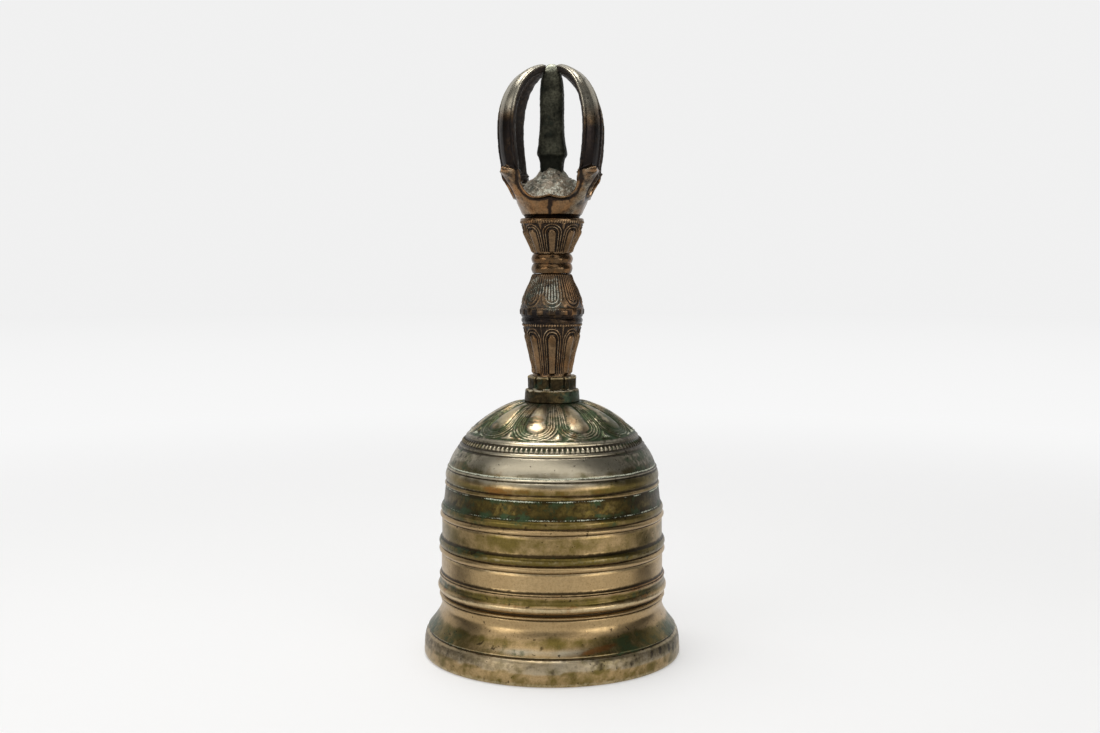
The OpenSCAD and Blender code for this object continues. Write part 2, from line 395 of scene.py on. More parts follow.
PETALS = 10
PETAL_TURN = -13.5     # azimuth of one petal of the dome
BEADS = 112
WALL_COLUMNS = 224     # corners round each row of the outer wall
DOME_COLUMNS = 3 * WALL_COLUMNS
CROWN_VOXEL = 0.295    # how finely the crown's shells are fused, within 200,000 triangles
PRONG_VOXEL = 0.26     # the same for the centre prong
BORE = 3.05            # the hole that every piece of the handle has for the tang
PETAL_RIM = (28.5, 76.0)   # radius and height of the petals' lower edge


def wall_outline():
    """From the rim up to the foot of the bead row."""
    flare = [(37.9 + 4.7 * (1 - t) ** 1.55, 9.25 + 8.2 * t) for t in np.linspace(0, 1, 12)]
    return [
        (40.1, 0.3), (40.5, 0.02), (43.2, 0.02), (43.85, 0.25), (44.08, 0.8), (44.12, 1.6),
        (43.98, 3.6), (43.85, 5.4), (43.62, 6.7), (43.35, 7.6), (43.05, 8.05), (42.6, 8.3),
        (42.25, 8.6), (42.3, 8.95), *flare,
        # thin ridge, bulge and hollow
        (38.3, 19.2), (38.35, 19.8), (38.1, 20.0), *band(20.2, 21.15, 38.4, 38.4, 0.42),
        (37.85, 21.4), (37.75, 21.7), (38.1, 22.0), *band(22.1, 25.2, 38.5, 38.6, 0.8),
        (38.6, 25.8), (38.5, 26.6), *band(27.3, 27.9, 38.6, 38.55, 0.2),
        *band(28.0, 28.5, 38.4, 38.3, 0.12),
        # lower panel and the ridges over it
        (38.0, 28.8), (38.02, 34.9), (37.8, 35.15), *band(35.4, 37.2, 38.3, 38.4, 0.45),
        (37.9, 37.45), *band(37.75, 40.4, 38.4, 38.2, 0.5),
        # upper panel and the ridges over it
        (37.8, 40.7), (37.78, 46.9), (37.55, 47.2), *band(47.45, 49.0, 37.95, 37.95, 0.45),
        (37.5, 49.3), *band(49.6, 51.8, 37.8, 37.65, 0.35),
        # sunk panel, thin ridge and rounded band
        (37.25, 52.15), (36.95, 54), (36.5, 58.1), *band(58.4, 59.55, 36.45, 36.35, 0.38),
        (35.95, 59.85), *band(60.15, 63.65, 36.3, 36.0, 0.35),
        (35.5, 63.95), *band(64.2, 64.9, 35.65, 35.5, 0.28),
        # shoulder
        (35.3, 65.1), *band(65.3, 71.1, 35.35, 32.2, 0.32, 12),
        (31.6, 71.35), *band(71.5, 72.5, 31.72, 31.15, 0.25, 5), (30.95, 72.62),
    ]


def dome_outline(crown):
    """From the foot of the bead row to the flat crown."""
    low_r, low_z = PETAL_RIM
    top_r = 9.9
    dome = [(r, low_z + (crown - low_z) * (1 - ((r - top_r) / (low_r - top_r)) ** 1.6))
            for r in np.linspace(low_r, top_r, 26)]
    return [(30.9, 72.72), (29.85, 74.25), (29.5, 74.5), *band(74.65, 75.85, 29.4, 28.6, 0.34, 6),
            *dome, (9.3, crown)]


def cavity_outline(crown):
    """The bore through the crown, and the inside wall down to the rim."""
    under = 82.1
    return [(BORE, crown), (BORE, under), (13, under), (19, 79), (24.5, 74.5), (30, 68),
            (33.4, 58), (34.5, 48), (34.5, 17), (36.5, 12.5), (39.2, 8), (40, 3), (40, 0.6)]


def inside_wall(r, z):
    """1 on the inside of the bell's wall, under its crown and in its bore, 0 on the outside."""
    middle = np.interp(z, [0, 8, 12, 17, 48, 58, 68, 74.5, 79, 82.1, 82.3],
                       [41.5, 40.9, 38.6, 36.2, 36.1, 35.0, 32.0, 27.2, 21.9, 16.5, 3.5])
    return (r < middle) * 1.0


def bead_relief(azimuth, z):
    """A row of small pointed beads in a groove, each wider at its foot."""
    t = np.clip((z - 72.72) / 1.5, 0, 1)
    aside = np.abs(wrap(azimuth, 360 / BEADS)) / (180 / BEADS)
    round_over = np.clip(1 - (aside / (0.98 - 0.6 * t)) ** 2, 0, 1) ** 0.5
    bead = 0.62 * round_over * np.clip(np.sin(math.pi * (0.12 + 0.84 * t)), 0, 1) ** 0.5
    return (bead - 0.3) * window(z, 72.75, 74.25, 0.1)


def petal_relief(azimuth, r, z, place):
    """Petals that hang from the collar: a boss, four outlines, and darts between the tips."""
    up = np.hypot(PETAL_RIM[0] - r, z - PETAL_RIM[1])
    pitch = 360 / PETALS
    aside = np.abs(wrap(azimuth - PETAL_TURN, pitch)) / (pitch / 2)
    widest, tip, half = 7.4, 0.9, 0.9
    below = np.maximum(widest - up, 0) / (widest - tip)
    above = np.maximum(up - widest, 0)
    level = np.hypot(aside / half, below)
    boss_level = np.sqrt((aside / half) ** 2 + below ** 2 + (above / 26) ** 2) / 0.58
    height = 0.58 * np.clip(1 - boss_level ** 2, 0, 1) ** 0.5
    for at, tall in ((0.68, 0.38), (0.81, 0.4), (0.95, 0.46), (1.1, 0.34)):
        height = height + tall * bump(level, at, 0.048)
    gap = 1 - aside
    dart_half = 0.05 + 0.3 * np.clip(1 - up / 6, 0, 1)
    dart = np.clip(1 - gap / dart_half, 0, 1) * window(up, 0.9, 5.2, 0.5) * smooth(1.16, 1.26, level)
    wave = 0.25 * noise(place, 2.2, 31)
    rim = bump(up, 1.0 + wave, 0.4) * smooth(-0.5, 0.4, noise(place, 3, 32))
    height = height + 0.5 * dart + 0.32 * rim * smooth(0.98, 1.1, level)
    worn = 1 - 0.25 * smooth(0, 0.8, noise(place, 7, 33))
    return (height * worn - 0.12) * window(up, 0.35, 20.6, 0.3) * smooth(75.9, 76.1, z)


def body_relief(azimuth, r, z, place):
    """Everything that stands on the outer wall, with the unevenness of the casting."""
    inner = inside_wall(r, z)
    uneven = 0.035 * fractal(place, 11, 3) + 0.012 * fractal(place, 1.6, 4, 2)
    height = uneven * smooth(0, 1.6, z) + bead_relief(azimuth, z) + petal_relief(azimuth, r, z, place)
    rough = 0.14 * fractal(place, 5, 8) * window(z, 1, 80, 0.8)
    return inner * rough + (1 - inner) * height


def body_step(z):
    """Distance between rows on the outer wall: short on mouldings, long on plain panels."""
    for low, high in ((1, 7), (10, 19), (29.2, 34.7), (41, 46.7), (52.6, 57.8), (66, 70.6)):
        if low < z < high:
            return 1.0
    return 0.355


def dome_step(z):
    return 0.365 if z < 82.6 else 0.57


def bell_casting():
    crown = span("bell_body")[1]
    bell = lathe("bell_casting", [
        (resample(wall_outline(), body_step), WALL_COLUMNS),
        (resample(dome_outline(crown), dome_step), DOME_COLUMNS),
        (resample([(8.6, crown), *cavity_outline(crown)], 2.6), WALL_COLUMNS // 2),
    ], body_relief)
    paint_body(bell)
    return bell


def body_places(bell):
    """What the body's paint depends on, for every corner."""
    co = corners(bell)
    z, side = co[:, 2], azimuth_of(co)
    height, relief = height_of(bell), relief_of(bell, 14)
    mid, ornament = fractal(co, 5, 6), smooth(75.8, 76.2, z)
    flare = window(z, 9.3, 19.6, 0.4)
    return SimpleNamespace(
        z=z, side=side, height=height, mid=mid, ornament=ornament,
        broad=fractal(co, 16, 5), fine=fractal(co, 1.7, 7),
        left=smooth(8, 60, -side), right=smooth(8, 60, side),
        inside=inside_wall(np.hypot(co[:, 0], co[:, 1]), z),
        proud=smooth(0.04, 0.3, relief),
        sunk=smooth(0.01, 0.15, -relief) * (1 - 0.85 * flare),
        ground=ornament * smooth(0.32, 0.02, height),
        beads=window(z, 72.6, 74.4, 0.1),
        teeth=window(z, 72.7, 74.35, 0.1) * smooth(0.08, -0.22, height),
        sunk_panel=window(z, 52.2, 58.3, 0.25),
        # painted highlight: a pale glint painted across the front of the flare, a little left of the
        # middle
        painted_glint=bump(z, 10.6, 1.3) * bump(side, -6, 30) * (0.9 + 0.3 * mid))


def body_olive_and_shade(p):
    """Olive brown: the sunk panel, the hollows and the undersides of the mouldings, with painted shade
    on the right of the band under the shoulder; less of it under the painted highlight on the flare.
    """
    z, sides = p.z, p.left + p.right
    olive = p.sunk_panel * 1.1 + 0.28 * p.ornament - 0.45 * p.painted_glint + 0.25 * smooth(0.2, 0.9, p.broad)
    for low, high, soft, amount in (
            (4.3, 8.3, 0.5, 0.4), (24.6, 27.2, 0.5, 0.85), (37.7, 40.6, 0.25, 0.95),
            (49.4, 52.1, 0.25, 0.82), (58.3, 59.6, 0.2, 0.55), (59.9, 61.7, 0.5, 0.4)):
        olive += amount * window(z, low, high, soft)
    olive += window(z, 0.3, 4.3 + 0.9 * p.mid, 0.35) * (0.5 + 0.25 * p.fine + 0.1 * p.mid)
    olive += window(z, 8.8, 14 + 1.4 * p.broad, 1.2) * (0.6 + 0.3 * sides)
    olive += window(z, 40.8, 46.9, 0.4) * (0.64 + 0.12 * p.broad)
    # painted shade: the band under the shoulder turns more olive towards the right
    olive += window(z, 59.9, 63.9, 0.3) * (0.25 + 0.45 * p.right)
    olive += window(z, 65.1, 67.2 + p.broad, 0.8) * 0.45
    return olive + window(z, 59.5, 75.8, 0.5) * sides * 0.35


def body_green(p):
    """Green: the edges of the sunk panel, the flare's sides, the petals' grooves."""
    z, side, mid, left, right = p.z, p.side, p.mid, p.left, p.right
    green = p.ground * (0.55 + 0.25 * p.broad)
    green += p.ornament * (0.3 + 0.45 * mid + 0.2 * p.broad + 0.15 * right)
    green += (bump(z, 52.9, 0.7) + 0.9 * bump(z, 57.7, 0.6)) * (0.25 + 0.3 * mid)
    green += p.sunk_panel * (0.3 + 0.2 * mid) + p.sunk * 0.15 + p.teeth * 0.35
    flare = 0.12 + 0.35 * mid + 0.46 * smooth(22, 48, np.abs(side + 5)) + 0.2 * bump(side, 30, 12)
    green += window(z, 8.6, 13.4 + 1.2 * p.broad, 0.9) * flare
    for low, high, soft, amount, aside in (
            (24.8, 27.4, 0.3, 0.28, 0.15 * left), (38.4, 40.7, 0.2, 0.18, 0.28 * left),
            (49.3, 52.2, 0.2, 0.22, 0.2 * left), (65.1, 66.6, 0.5, 0.2, 0.15 * right)):
        green += window(z, low, high, soft) * (amount + 0.3 * mid + aside)
    green += window(z, 65.8, 71.4, 0.6) * (left + right) * (0.36 + 0.34 * mid)
    green += window(z, 71.2, 75, 0.3) * (0.05 + 0.2 * right)
    return green - 0.5 * bump(side, 21, 9) * bump(z, 10.9, 1.2)


def body_dark_and_shade(p):
    """Dark: a line beside every moulding, the grooves, and painted shade on the bell's left and right
    sides at the lip, the band, the shoulder and the bead row, and on its right from the sunk panel up.
    """
    z, mid, left, right = p.z, p.mid, p.left, p.right
    dark = 0.8 * p.sunk * (1 - p.ornament) + p.teeth * 0.9 + p.ground * 0.6
    dark += p.sunk_panel * (0.62 + 0.15 * mid)
    for line in (8.95, 20.0, 21.75, 26.4, 27.95, 28.7, 35.2, 37.5, 40.75, 47.2, 49.4, 51.95, 58.25,
                 59.85, 64.0, 65.05, 71.3, 72.62, 74.45):
        dark += 0.85 * bump(z, line, 0.26)
    # painted shade on the left and right of the bead row and the moulding over it
    dark += (left * 0.6 + right * 0.5) * window(z, 71.2, 76, 0.3)
    # the band is a little darker, more on the right as painted shade; painted shade on the whole right
    # side from the sunk panel up
    dark += 0.16 * window(z, 59.9, 64, 0.3) * (0.5 + right) + 0.22 * right * smooth(50, 60, z)
    # painted shade on both sides of the shoulder
    dark += 0.5 * left * window(z, 65.4, 71.4, 0.6) + 0.5 * right * window(z, 64.5, 71.5, 1)
    dark += 0.36 * window(z, 37.7, 40.6, 0.3) + 0.15 * window(z, 0, 4, 0.8) * (1 + mid)
    # the lip's upper half is darker, with painted shade growing towards its sides
    dark += window(z, 4.4, 8, 0.4) * (0.36 + 0.22 * smooth(15, 45, np.abs(p.side)))
    dark += 0.35 * smooth(0.45, 0.8, p.fine) * (0.4 + p.broad)
    return dark + window(z, 9, 13.5, 0.7) * 0.25 * p.fine


def body_warm(p):
    """Rust and warm bronze: a streak on the flare, the ridges, the petals, a few wide patches."""
    z, side, mid = p.z, p.side, p.mid
    rust = bump(side, 21 + 2.5 * mid, 9) * bump(z, 10.9 + 0.09 * (side - 21), 0.75)
    warm = 1.9 * rust + 0.5 * p.sunk * (1 - p.ornament) * (0.6 + mid)
    warm += window(z, 22.5, 25.2, 0.4) * (0.4 + 0.4 * mid)
    warm += window(z, 27.2, 28.6, 0.15) * (0.3 + 0.4 * p.right)
    warm += window(z, 60.1, 62, 0.4) * (0.3 + 0.2 * mid) + p.sunk_panel * (0.15 + 0.5 * mid)
    warm += 0.9 * bump(side, 20, 6) * bump(z, 82, 1.6) + 0.95 * p.ornament * smooth(0.05, 0.6, mid)
    return warm + smooth(0.3, 0.9, -p.broad) * 0.3


def body_crust(p):
    """Pale crust left in the grooves."""
    z, mid, left = p.z, p.mid, p.left
    crust = window(z, 76.2, 77.6, 0.3) * smooth(0.05, 0.3, p.height) * (0.45 + 0.5 * (left + p.right))
    for line, half, amount in (
            (65.3 + 0.1 * mid, 0.42, 1.1), (52.4 + 0.1 * mid, 0.42, 1.1), (71.5, 0.25, 0.35),
            (57.9 + 0.15 * mid, 0.42, 1.05 * (0.82 + 0.6 * mid)), (60.0, 0.25, 0.7 * (0.6 + left)),
            (40.75, 0.25, 0.5 * (0.2 + left)), (26.3, 0.6, 0.5 * left),
            (9.0, 0.3, 0.8 * (0.7 + 0.4 * left))):
        crust += amount * bump(z, line, half)
    return crust


def body_worn_and_highlight(p):
    """Rubbed bright where it stands proud and on the beads' tops, these dimmed on the right as painted
    shade; a painted highlight on the plain mouldings beside the beads fades towards both sides.
    """
    mouldings = window(p.z, 74.75, 75.8, 0.12) + 0.7 * window(p.z, 71.6, 72.5, 0.12)
    worn = 0.1 * window(p.z, 22.3, 24.4, 0.4) + 0.55 * p.proud * (1 - 0.9 * p.beads)
    worn += 0.6 * p.ornament * smooth(0.2, 0.4, p.height) * (1 - 0.4 * p.mid)
    # worn bead tops; their dimming on the right is painted shade
    worn += 0.5 * p.beads * smooth(0.0, 0.25, p.height) * (1 - p.right)
    # painted highlight on the plain mouldings beside the beads, on the front of the bell only
    return worn + 0.65 * mouldings * (1 - p.right) * (1 - 0.9 * p.left)


def body_pale_and_highlight(p):
    """Grey and silvery: the shoulder and dome, and the upper half of the lip; pale too where a highlight
    is painted across the flare.
    """
    pale = smooth(60.5, 65, p.z) * (1 - p.ornament * (0.36 - 0.3 * p.mid)) + 0.6 * p.painted_glint
    return pale + window(p.z, 4.4 + 0.8 * p.mid, 8.6, 0.4) * 0.5


def paint_body(bell):
    """The patina of the outer wall with the painted highlights and shade on it, and the plainer one of
    the cavity.
    """
    p = body_places(bell)
    cavity = {"olive": 0.5, "green": 0.3 + 0.35 * p.broad, "dark": 0.5 + 0.25 * p.mid,
              "warm": 0.3, "crust": 0, "worn": 0, "pale": 0}
    wall = {"olive": body_olive_and_shade, "green": body_green, "dark": body_dark_and_shade, "warm": body_warm,
            "crust": body_crust, "worn": body_worn_and_highlight, "pale": body_pale_and_highlight}
    for name, masks in wall.items():
        paint(bell, name, (1 - p.inside) * masks(p) + p.inside * cavity[name])
    paint(bell, "matte", p.inside * 0.5 + (1 - p.inside) * window(p.z, 4, 8, 0.6) * 0.22)


# ---------------------------------------------------------------- collars

def bored(outline, low, high, step, columns, bore=BORE):
    """Stretches for lathe: an outline that runs from low to high, and a bore down its middle."""
    return [(resample(outline, step), columns),
            (resample([(bore, high), (bore, low)], 3), columns // 8)]


def lower_collar_piece():
    """A plain ring with a rough, crusted rim."""
    low, high = span("lower_collar")
    foot, top = reach("lower_collar"), reach("lower_collar") - 0.3
    outline = [(foot - 1.2, low), (foot - 0.1, low + 0.05), (foot, low + 0.4),
               (top + 0.05, high - 0.9), (top - 0.1, high - 0.35), (top - 0.5, high - 0.02)]

    def relief(azimuth, r, z, place):
        rim = window(z, high - 0.9, high + 0.5, 0.25) * (r > 8)
        return (0.09 * fractal(place, 4, 12) + rim * 0.16 * fractal(place, 1.1, 13)) * (r > 7)

    collar = lathe("lower_collar_ring", bored(outline, low, high, 0.25, 288), relief)
    co = corners(collar)
    broad, mid = fractal(co, 8, 14), fractal(co, 2.5, 15)
    rim = smooth(high - 0.8, high - 0.3, co[:, 2] + 0.25 * mid)
    coat(collar,
         green=0.5 + 0.35 * broad - 0.3 * rim,
         dark=0.55 - 0.25 * broad - 0.4 * rim,
         warm=0.25 + 0.3 * mid,
         crust=rim * (0.9 + 0.4 * mid) + 0.3 * bump(co[:, 2], low + 0.3, 0.3),
         worn=0.5 * rim)
    return collar


def upper_collar_piece():
    """A narrow sleeve with ten slits, and rough solder on its top."""
    low, high = span("upper_collar")
    outer = reach("upper_collar")
    slits, slit_turn = 10, -6
    outline = [(outer - 0.6, low), (outer - 0.05, low + 0.1), (outer - 0.02, high - 0.9),
               (outer - 0.1, high - 0.4), (outer - 0.5, high - 0.05), (outer - 1, high)]

    def relief(azimuth, r, z, place):
        flank = smooth(low + 0.6, low + 1.1, z) * (r > 7.4)
        off = wrap(azimuth - slit_turn, 360 / slits)
        slit = np.exp(-(off / 2.4) ** 4) * 0.75
        facet = 0.3 * (1 - (off / 18) ** 2) - 0.2
        rim = smooth(high - 1.1, high - 0.7, z) * (1 - smooth(high - 0.25, high, z))
        solder = 0.16 * fractal(place, 1.3, 17) * (r > 7.3)
        return flank * (facet * 0.5 - slit) + 0.12 * rim * (r > 7.4) + solder * 0.6

    collar = lathe("upper_collar_sleeve", bored(outline, low, high, 0.22, 360, 6.55), relief)
    co = corners(collar)
    relief = relief_of(collar, 10)
    mid = fractal(co, 2, 18)
    rim = smooth(high - 1.0, high - 0.5, co[:, 2] + 0.2 * mid)
    coat(collar,
         green=0.28 + 0.3 * mid,
         dark=0.72 + smooth(0, 0.2, -relief) - 0.5 * rim,
         olive=0.5 + 0.3 * mid,
         warm=0.35 + 0.2 * mid,
         crust=0.6 * rim * (0.8 + mid) + 0.7 * bump(co[:, 2], low + 0.2, 0.4) * (1 + mid),
         worn=smooth(0.02, 0.15, relief) * (0.4 + 0.6 * rim))
    return collar


# ---------------------------------------------------------------- grip, neck ring and lotus cup

HANDLE_COLUMNS = 8 * 46


def upright_petals(azimuth, z, tip, widest, leaf, outlines, count=8, half=0.86):
    """Petals that stand up, with a raised leaf and thin outlines round it."""
    aside = np.abs(wrap(azimuth, 360 / count)) / (180 / count)
    level = np.hypot(aside / half, np.maximum(z - widest, 0) / (tip - widest))
    height = 0.42 * np.clip(1 - (level / leaf) ** 2, 0, 1) ** 0.45
    for at in outlines:
        height = height + 0.24 * bump(level, at, 0.07)
    return height, level


def hanging_petals(azimuth, z, tip, widest, outlines, count=8, half=0.88):
    """Petals that hang down, with ribs inside their outlines."""
    aside = np.abs(wrap(azimuth, 360 / count)) / (180 / count)
    level = np.hypot(aside / half, np.maximum(widest - z, 0) / (widest - tip))
    height = 0.3 * (0.5 + 0.5 * np.cos(aside * 24)) * smooth(0.5, 0.4, level)
    for at in outlines:
        height = height + 0.3 * bump(level, at, 0.08)
    return height


def grip_casting():
    """The grip: standing petals, a belt with bars and ticks, hanging petals."""
    foot, top = span("grip_baluster")
    base = span("upper_collar")[1]
    outline = [
        (6.3, foot), (6.5, foot + 0.2), (6.5, base + 0.4),
        *curve(lifted(base, [(6.6, 1), (6.8, 3.2), (7.3, 5.5), (7.95, 8.6),
                (8.75, 11.7), (9.55, 14.7), (10.05, 17)]), 3),
        (10.05, base + 17.6), (9.9, base + 17.8), *band(base + 18.1, base + 19.6, 10.1, 10.15, 0.25),
        (9.95, base + 19.8),
        *curve(lifted(base, [(10.35, 20.2), (10.7, 21.9), (10.5, 23.9),
                (10.05, 26), (9.25, 28), (8.35, 30.1),
                (7.4, 32.1), (6.75, 34)]), 3),
        (6.5, top - 0.1), (6.2, top)]

    def relief(azimuth, r, z, place):
        up = z - base
        low, low_level = upright_petals(azimuth, up, 16.3, 12.2, 0.5, (0.72, 0.98))
        between = smooth(1.08, 1.2, low_level)
        dart = 0.3 * between * bump(np.abs(wrap(azimuth, 45)), 22.5, 1.8)
        low = (low - 0.34 * (1 - smooth(0.0, 0.4, low)) + dart) * window(up, 0.9, 16.9, 0.3)
        high = hanging_petals(azimuth, up, 23.4, 27.2, (0.62, 0.97))
        high = (high - 0.12) * window(up, 23.2, 34.2, 0.3)
        segment = smooth(-0.35, 0.05, np.cos(np.radians(azimuth * 16))) * 0.28
        bars = segment * window(up, 20.9, 22.6, 0.15) + 0.22 * bump(up, 22.9, 0.22)
        ticks = 0.16 * np.cos(np.radians(azimuth * 64)) * window(up, 16.95, 17.7, 0.1)
        cast = 0.07 * fractal(place, 1.4, 21) + 0.06 * fractal(place, 5, 22)
        return (low + high + bars + ticks + cast) * (r > 6) * (up > 0.4)

    grip = lathe("grip_casting", bored(outline, foot, top, 0.25, HANDLE_COLUMNS), relief)
    co = corners(grip)
    up = co[:, 2] - base
    side = azimuth_of(co)
    belt = window(up, 17.8, 23.1, 0.3)
    cool = window(up, 22, 34, 1.5) * (0.8 - 0.5 * smooth(5, 45, side) + 0.35 * fractal(co, 5, 23))
    paint_handle(grip, 12, dusk=0.5 * belt - 0.05 - 0.25 * cool)
    coat(grip,
         pale=0.34 * cool,
         green=0.55 * cool + 0.1 * window(up, 0, 18, 2),
         crust=0.95 * cool * smooth(-0.1, 0.2, height_of(grip)),
         matte=0.45 * cool,
         olive=0.35 + 0.4 * fractal(co, 6, 44) + 0.6 * belt)
    return grip


def neck_ring_piece():
    """Two rounded rings in one casting."""
    low, high = span("neck_ring")
    outline = [
        (6.2, low), *band(low + 0.1, low + 3.15, 6.6, 6.6, 0.45), (6.35, low + 3.3),
        *band(low + 3.45, low + 6.3, 6.6, 6.6, 0.45), (6.35, high - 0.2), (6.1, high)]

    def relief(azimuth, r, z, place):
        nick = 0.3 * bump(azimuth, 2, 8) * bump(z, low + 5.9, 0.5)
        return (0.1 * fractal(place, 3.2, 25) + 0.04 * fractal(place, 0.9, 26) - nick) * (r > 5)

    ring = lathe("neck_ring_casting", bored(outline, low, high, 0.25, 224), relief)
    paint_handle(ring, 10, -0.6, 0)
    mid = fractal(corners(ring), 3, 27)
    coat(ring,
         warm=0.5 + 0.4 * mid,
         olive=0.75 + 0.4 * mid)
    return ring


def lotus_cup_casting():
    """A flared cup with eight standing petals under a ticked flange."""
    low, high = span("lotus_cup")
    flange = high - 1.7
    outline = [
        (6.2, low), (6.6, low + 0.1),
        *curve(lifted(low, [(6.65, 0.6), (7.55, 2.8), (8.6, 5), (9.6, 7),
                (10.3, 8.9), (10.5, 9.9)]), 3),
        (10.55, flange), (10.75, flange + 0.3), (10.78, high - 0.5), (10.5, high - 0.1), (9.9, high)]

    def relief(azimuth, r, z, place):
        up = z - low
        leaves, level = upright_petals(azimuth, up, 9.7, 6.6, 0.44, (0.7, 0.97), half=0.88)
        gap = np.abs(wrap(azimuth, 45)) / 22.5
        dart = 0.45 * smooth(1.1, 1.25, level) * np.clip(1 - (1 - gap) / 0.3, 0, 1) * smooth(6, 7.5, up)
        leaves = (leaves - 0.42 * (1 - smooth(0, 0.4, leaves)) + dart) * window(up, 0.5, 9.9, 0.25)
        ticks = 0.16 * np.cos(np.radians(azimuth * 72)) * window(z, flange - 0.15, flange + 0.55, 0.12)
        cast = 0.05 * fractal(place, 1.2, 28) + 0.05 * fractal(place, 5, 29)
        return (leaves + ticks + cast) * (r > 6) * (z < high - 0.2)

    cup = lathe("lotus_cup_casting", bored(outline, low, high, 0.22, HANDLE_COLUMNS), relief)
    paint_handle(cup, 12, dusk=-0.2)
    return cup


def paint_handle(piece, rounds, ground=-0.3, ridge=0.25, dusk=0.0):
    """Worn brown high places and blue-black hollows, from the height of the relief."""
    co = corners(piece)
    height = height_of(piece)
    relief = relief_of(piece, rounds)
    mid, fine = fractal(co, 3, 41), fractal(co, 1.2, 43)
    sunk = smooth(ridge - 0.1, ground, height + 0.06 * mid)
    coat(piece,
         worn=smooth(0.05, 0.3, relief + 0.06 * mid) * (1 - 0.7 * sunk) * (0.6 + 0.5 * fine),
         dark=sunk + smooth(0.0, 0.16, -relief) * 0.8 + 0.12 + dusk
           + 0.12 * fine + 0.14 * mid,
         warm=0.4 + 0.35 * fractal(co, 7, 42),
         olive=0.35 + 0.4 * fractal(co, 6, 44))


# ---------------------------------------------------------------- prong crown

PRONG_TURN = -4.2     # degrees from the diagonals, seen from above
PRONG_R = 20.3        # radius to the side edges of a prong at its widest
PRONG_MID = 29.2      # height of that place above the foot of the calyx
NOTCH_HALF = 9.45     # half the width of a notch between two prongs
NOTCH_H = 6.8         # height of its lowest edge above the foot of the calyx
LOBE_R = 5.4          # radius of its two lower corners


def calyx_half(up):
    """Distance from the axis to a face of the calyx at a height above its foot."""
    return np.interp(up, [0, 0.7, 1.1, 4.1, 7.1, 10.1, 13.1, 15.4],
                     [9.3, 9.3, 10.05, 11.35, 12.65, 14.1, 15.8, 17.2])


def squareness(up):
    """Exponent of the calyx's section: round at the foot, nearly square at the top."""
    return 2 + 2.7 * smooth(1, 11, up)


def prong_line(steps=46):
    """(radius, height above the foot) of a prong's side edges, up to the tip."""
    arc_r = 47
    line = [(PRONG_R - arc_r + math.sqrt(arc_r ** 2 - h * h), PRONG_MID - h)
            for h in np.linspace(16.5, 0.5, 17)]
    power = 2 / 2.15
    for t in np.radians(np.linspace(0, 82, steps)):
        line.append((PRONG_R * math.cos(t) ** power, PRONG_MID + 21.5 * math.sin(t) ** power))
    return np.array([q for q in line if q[0] >= 3.9])


def prong_shell(foot):
    """One prong in the plane of X and Z: a low crown outside, thin lips along its edges."""
    half = [(0, 1.0), (1.5, 0.74), (2.5, 0.44), (3.2, 0.2), (3.42, 0.34), (3.7, 0.42),
            (3.92, 0.24), (3.95, -0.15), (3.75, -0.6), (3.2, -1.5), (2.6, -2.35), (2.1, -2.7),
            (1.1, -2.85)]
    section = [(-a, b) for a, b in half[:0:-1]] + half + [(0, -2.9)]
    line = prong_line()
    along = np.gradient(line, axis=0)
    along /= np.linalg.norm(along, axis=1)[:, None]
    gone = np.concatenate([[0], np.cumsum(np.linalg.norm(np.diff(line, axis=0), axis=1))])
    tip = np.clip((gone - 17) / (gone[-1] - 17), 0, 1)
    path = []
    for (r, h), (dr, dh), t, root in zip(line, along, tip, smooth(-1.5, 6, gone)):
        place = np.array([r, 0, foot + h])
        path.append((place, Y, np.array([dh, 0, -dr]),
                     1 - 0.6 * t ** 1.7, (1 - 0.3 * t ** 2) * (0.3 + 0.7 * root)))
    return sweep(path, section[::-1])


def beak_shell(foot):
    """The beak where a prong leaves the calyx: a ledge across the prong with a hipped top."""
    under, ledge, top = foot + 12.2, foot + 14.7, foot + 17.4
    co = [(22.4, 0, ledge), (22.2, 0, ledge + 1.7), (18.6, 4.25, ledge - 0.1), (18.6, 4.25, ledge + 0.6),
          (18.6, -4.25, ledge - 0.1), (18.6, -4.25, ledge + 0.6), (19.2, 0, top), (17.3, 0, under),
          (15.2, 3, ledge), (15.2, -3, ledge)]
    faces = [[0, 2, 3, 1], [1, 5, 4, 0], [1, 3, 6], [1, 6, 5], [0, 7, 2], [0, 4, 7],
             [2, 8, 3], [3, 8, 6], [5, 9, 4], [5, 6, 9], [2, 7, 8], [4, 9, 7], [6, 8, 9], [7, 9, 8]]
    return np.array(co, float), faces


def notch_line():
    """Half outline of a notch, from its middle to its side: a low cusp, a lobe, a straight side."""
    lobe_x = NOTCH_HALF - LOBE_R
    line = [(x, NOTCH_H + 0.85 * (1 - x / lobe_x) ** 1.4) for x in np.linspace(0, lobe_x, 8)[:-1]]
    line += [(lobe_x + LOBE_R * math.sin(a), NOTCH_H + LOBE_R * (1 - math.cos(a)))
             for a in np.linspace(0, math.pi / 2, 12)]
    return line


def notch_cutter(foot):
    half = notch_line() + [(NOTCH_HALF, 30)]
    outline = [(-x, h) for x, h in half[:0:-1]] + half
    path = [(np.array([0, y, foot]), X, Z, 1, 1) for y in (30, -30)]
    return sweep(path, outline)


def notch_lip(foot):
    """The raised lip round a notch, which runs up into the lips of the prongs beside it."""
    diagonal = math.sqrt(0.5)
    edge = [q for q in prong_line() if 16.8 < q[1] < 24]
    rising = [((r - 3.75) * diagonal, -(r + 3.75) * diagonal, foot + h) for r, h in edge]
    side = []
    for x, h in notch_line() + [(NOTCH_HALF + 0.02, NOTCH_H + LOBE_R + 1.2)]:
        n = squareness(h)
        side.append((x, -(calyx_half(h) ** n - abs(x) ** n) ** (1 / n) - 0.06, foot + h - 0.25))
    half = side + rising
    line = curve([(-x, y, z) for x, y, z in half[:0:-1]] + half, 2)
    return tube(line, 0.42, 8)


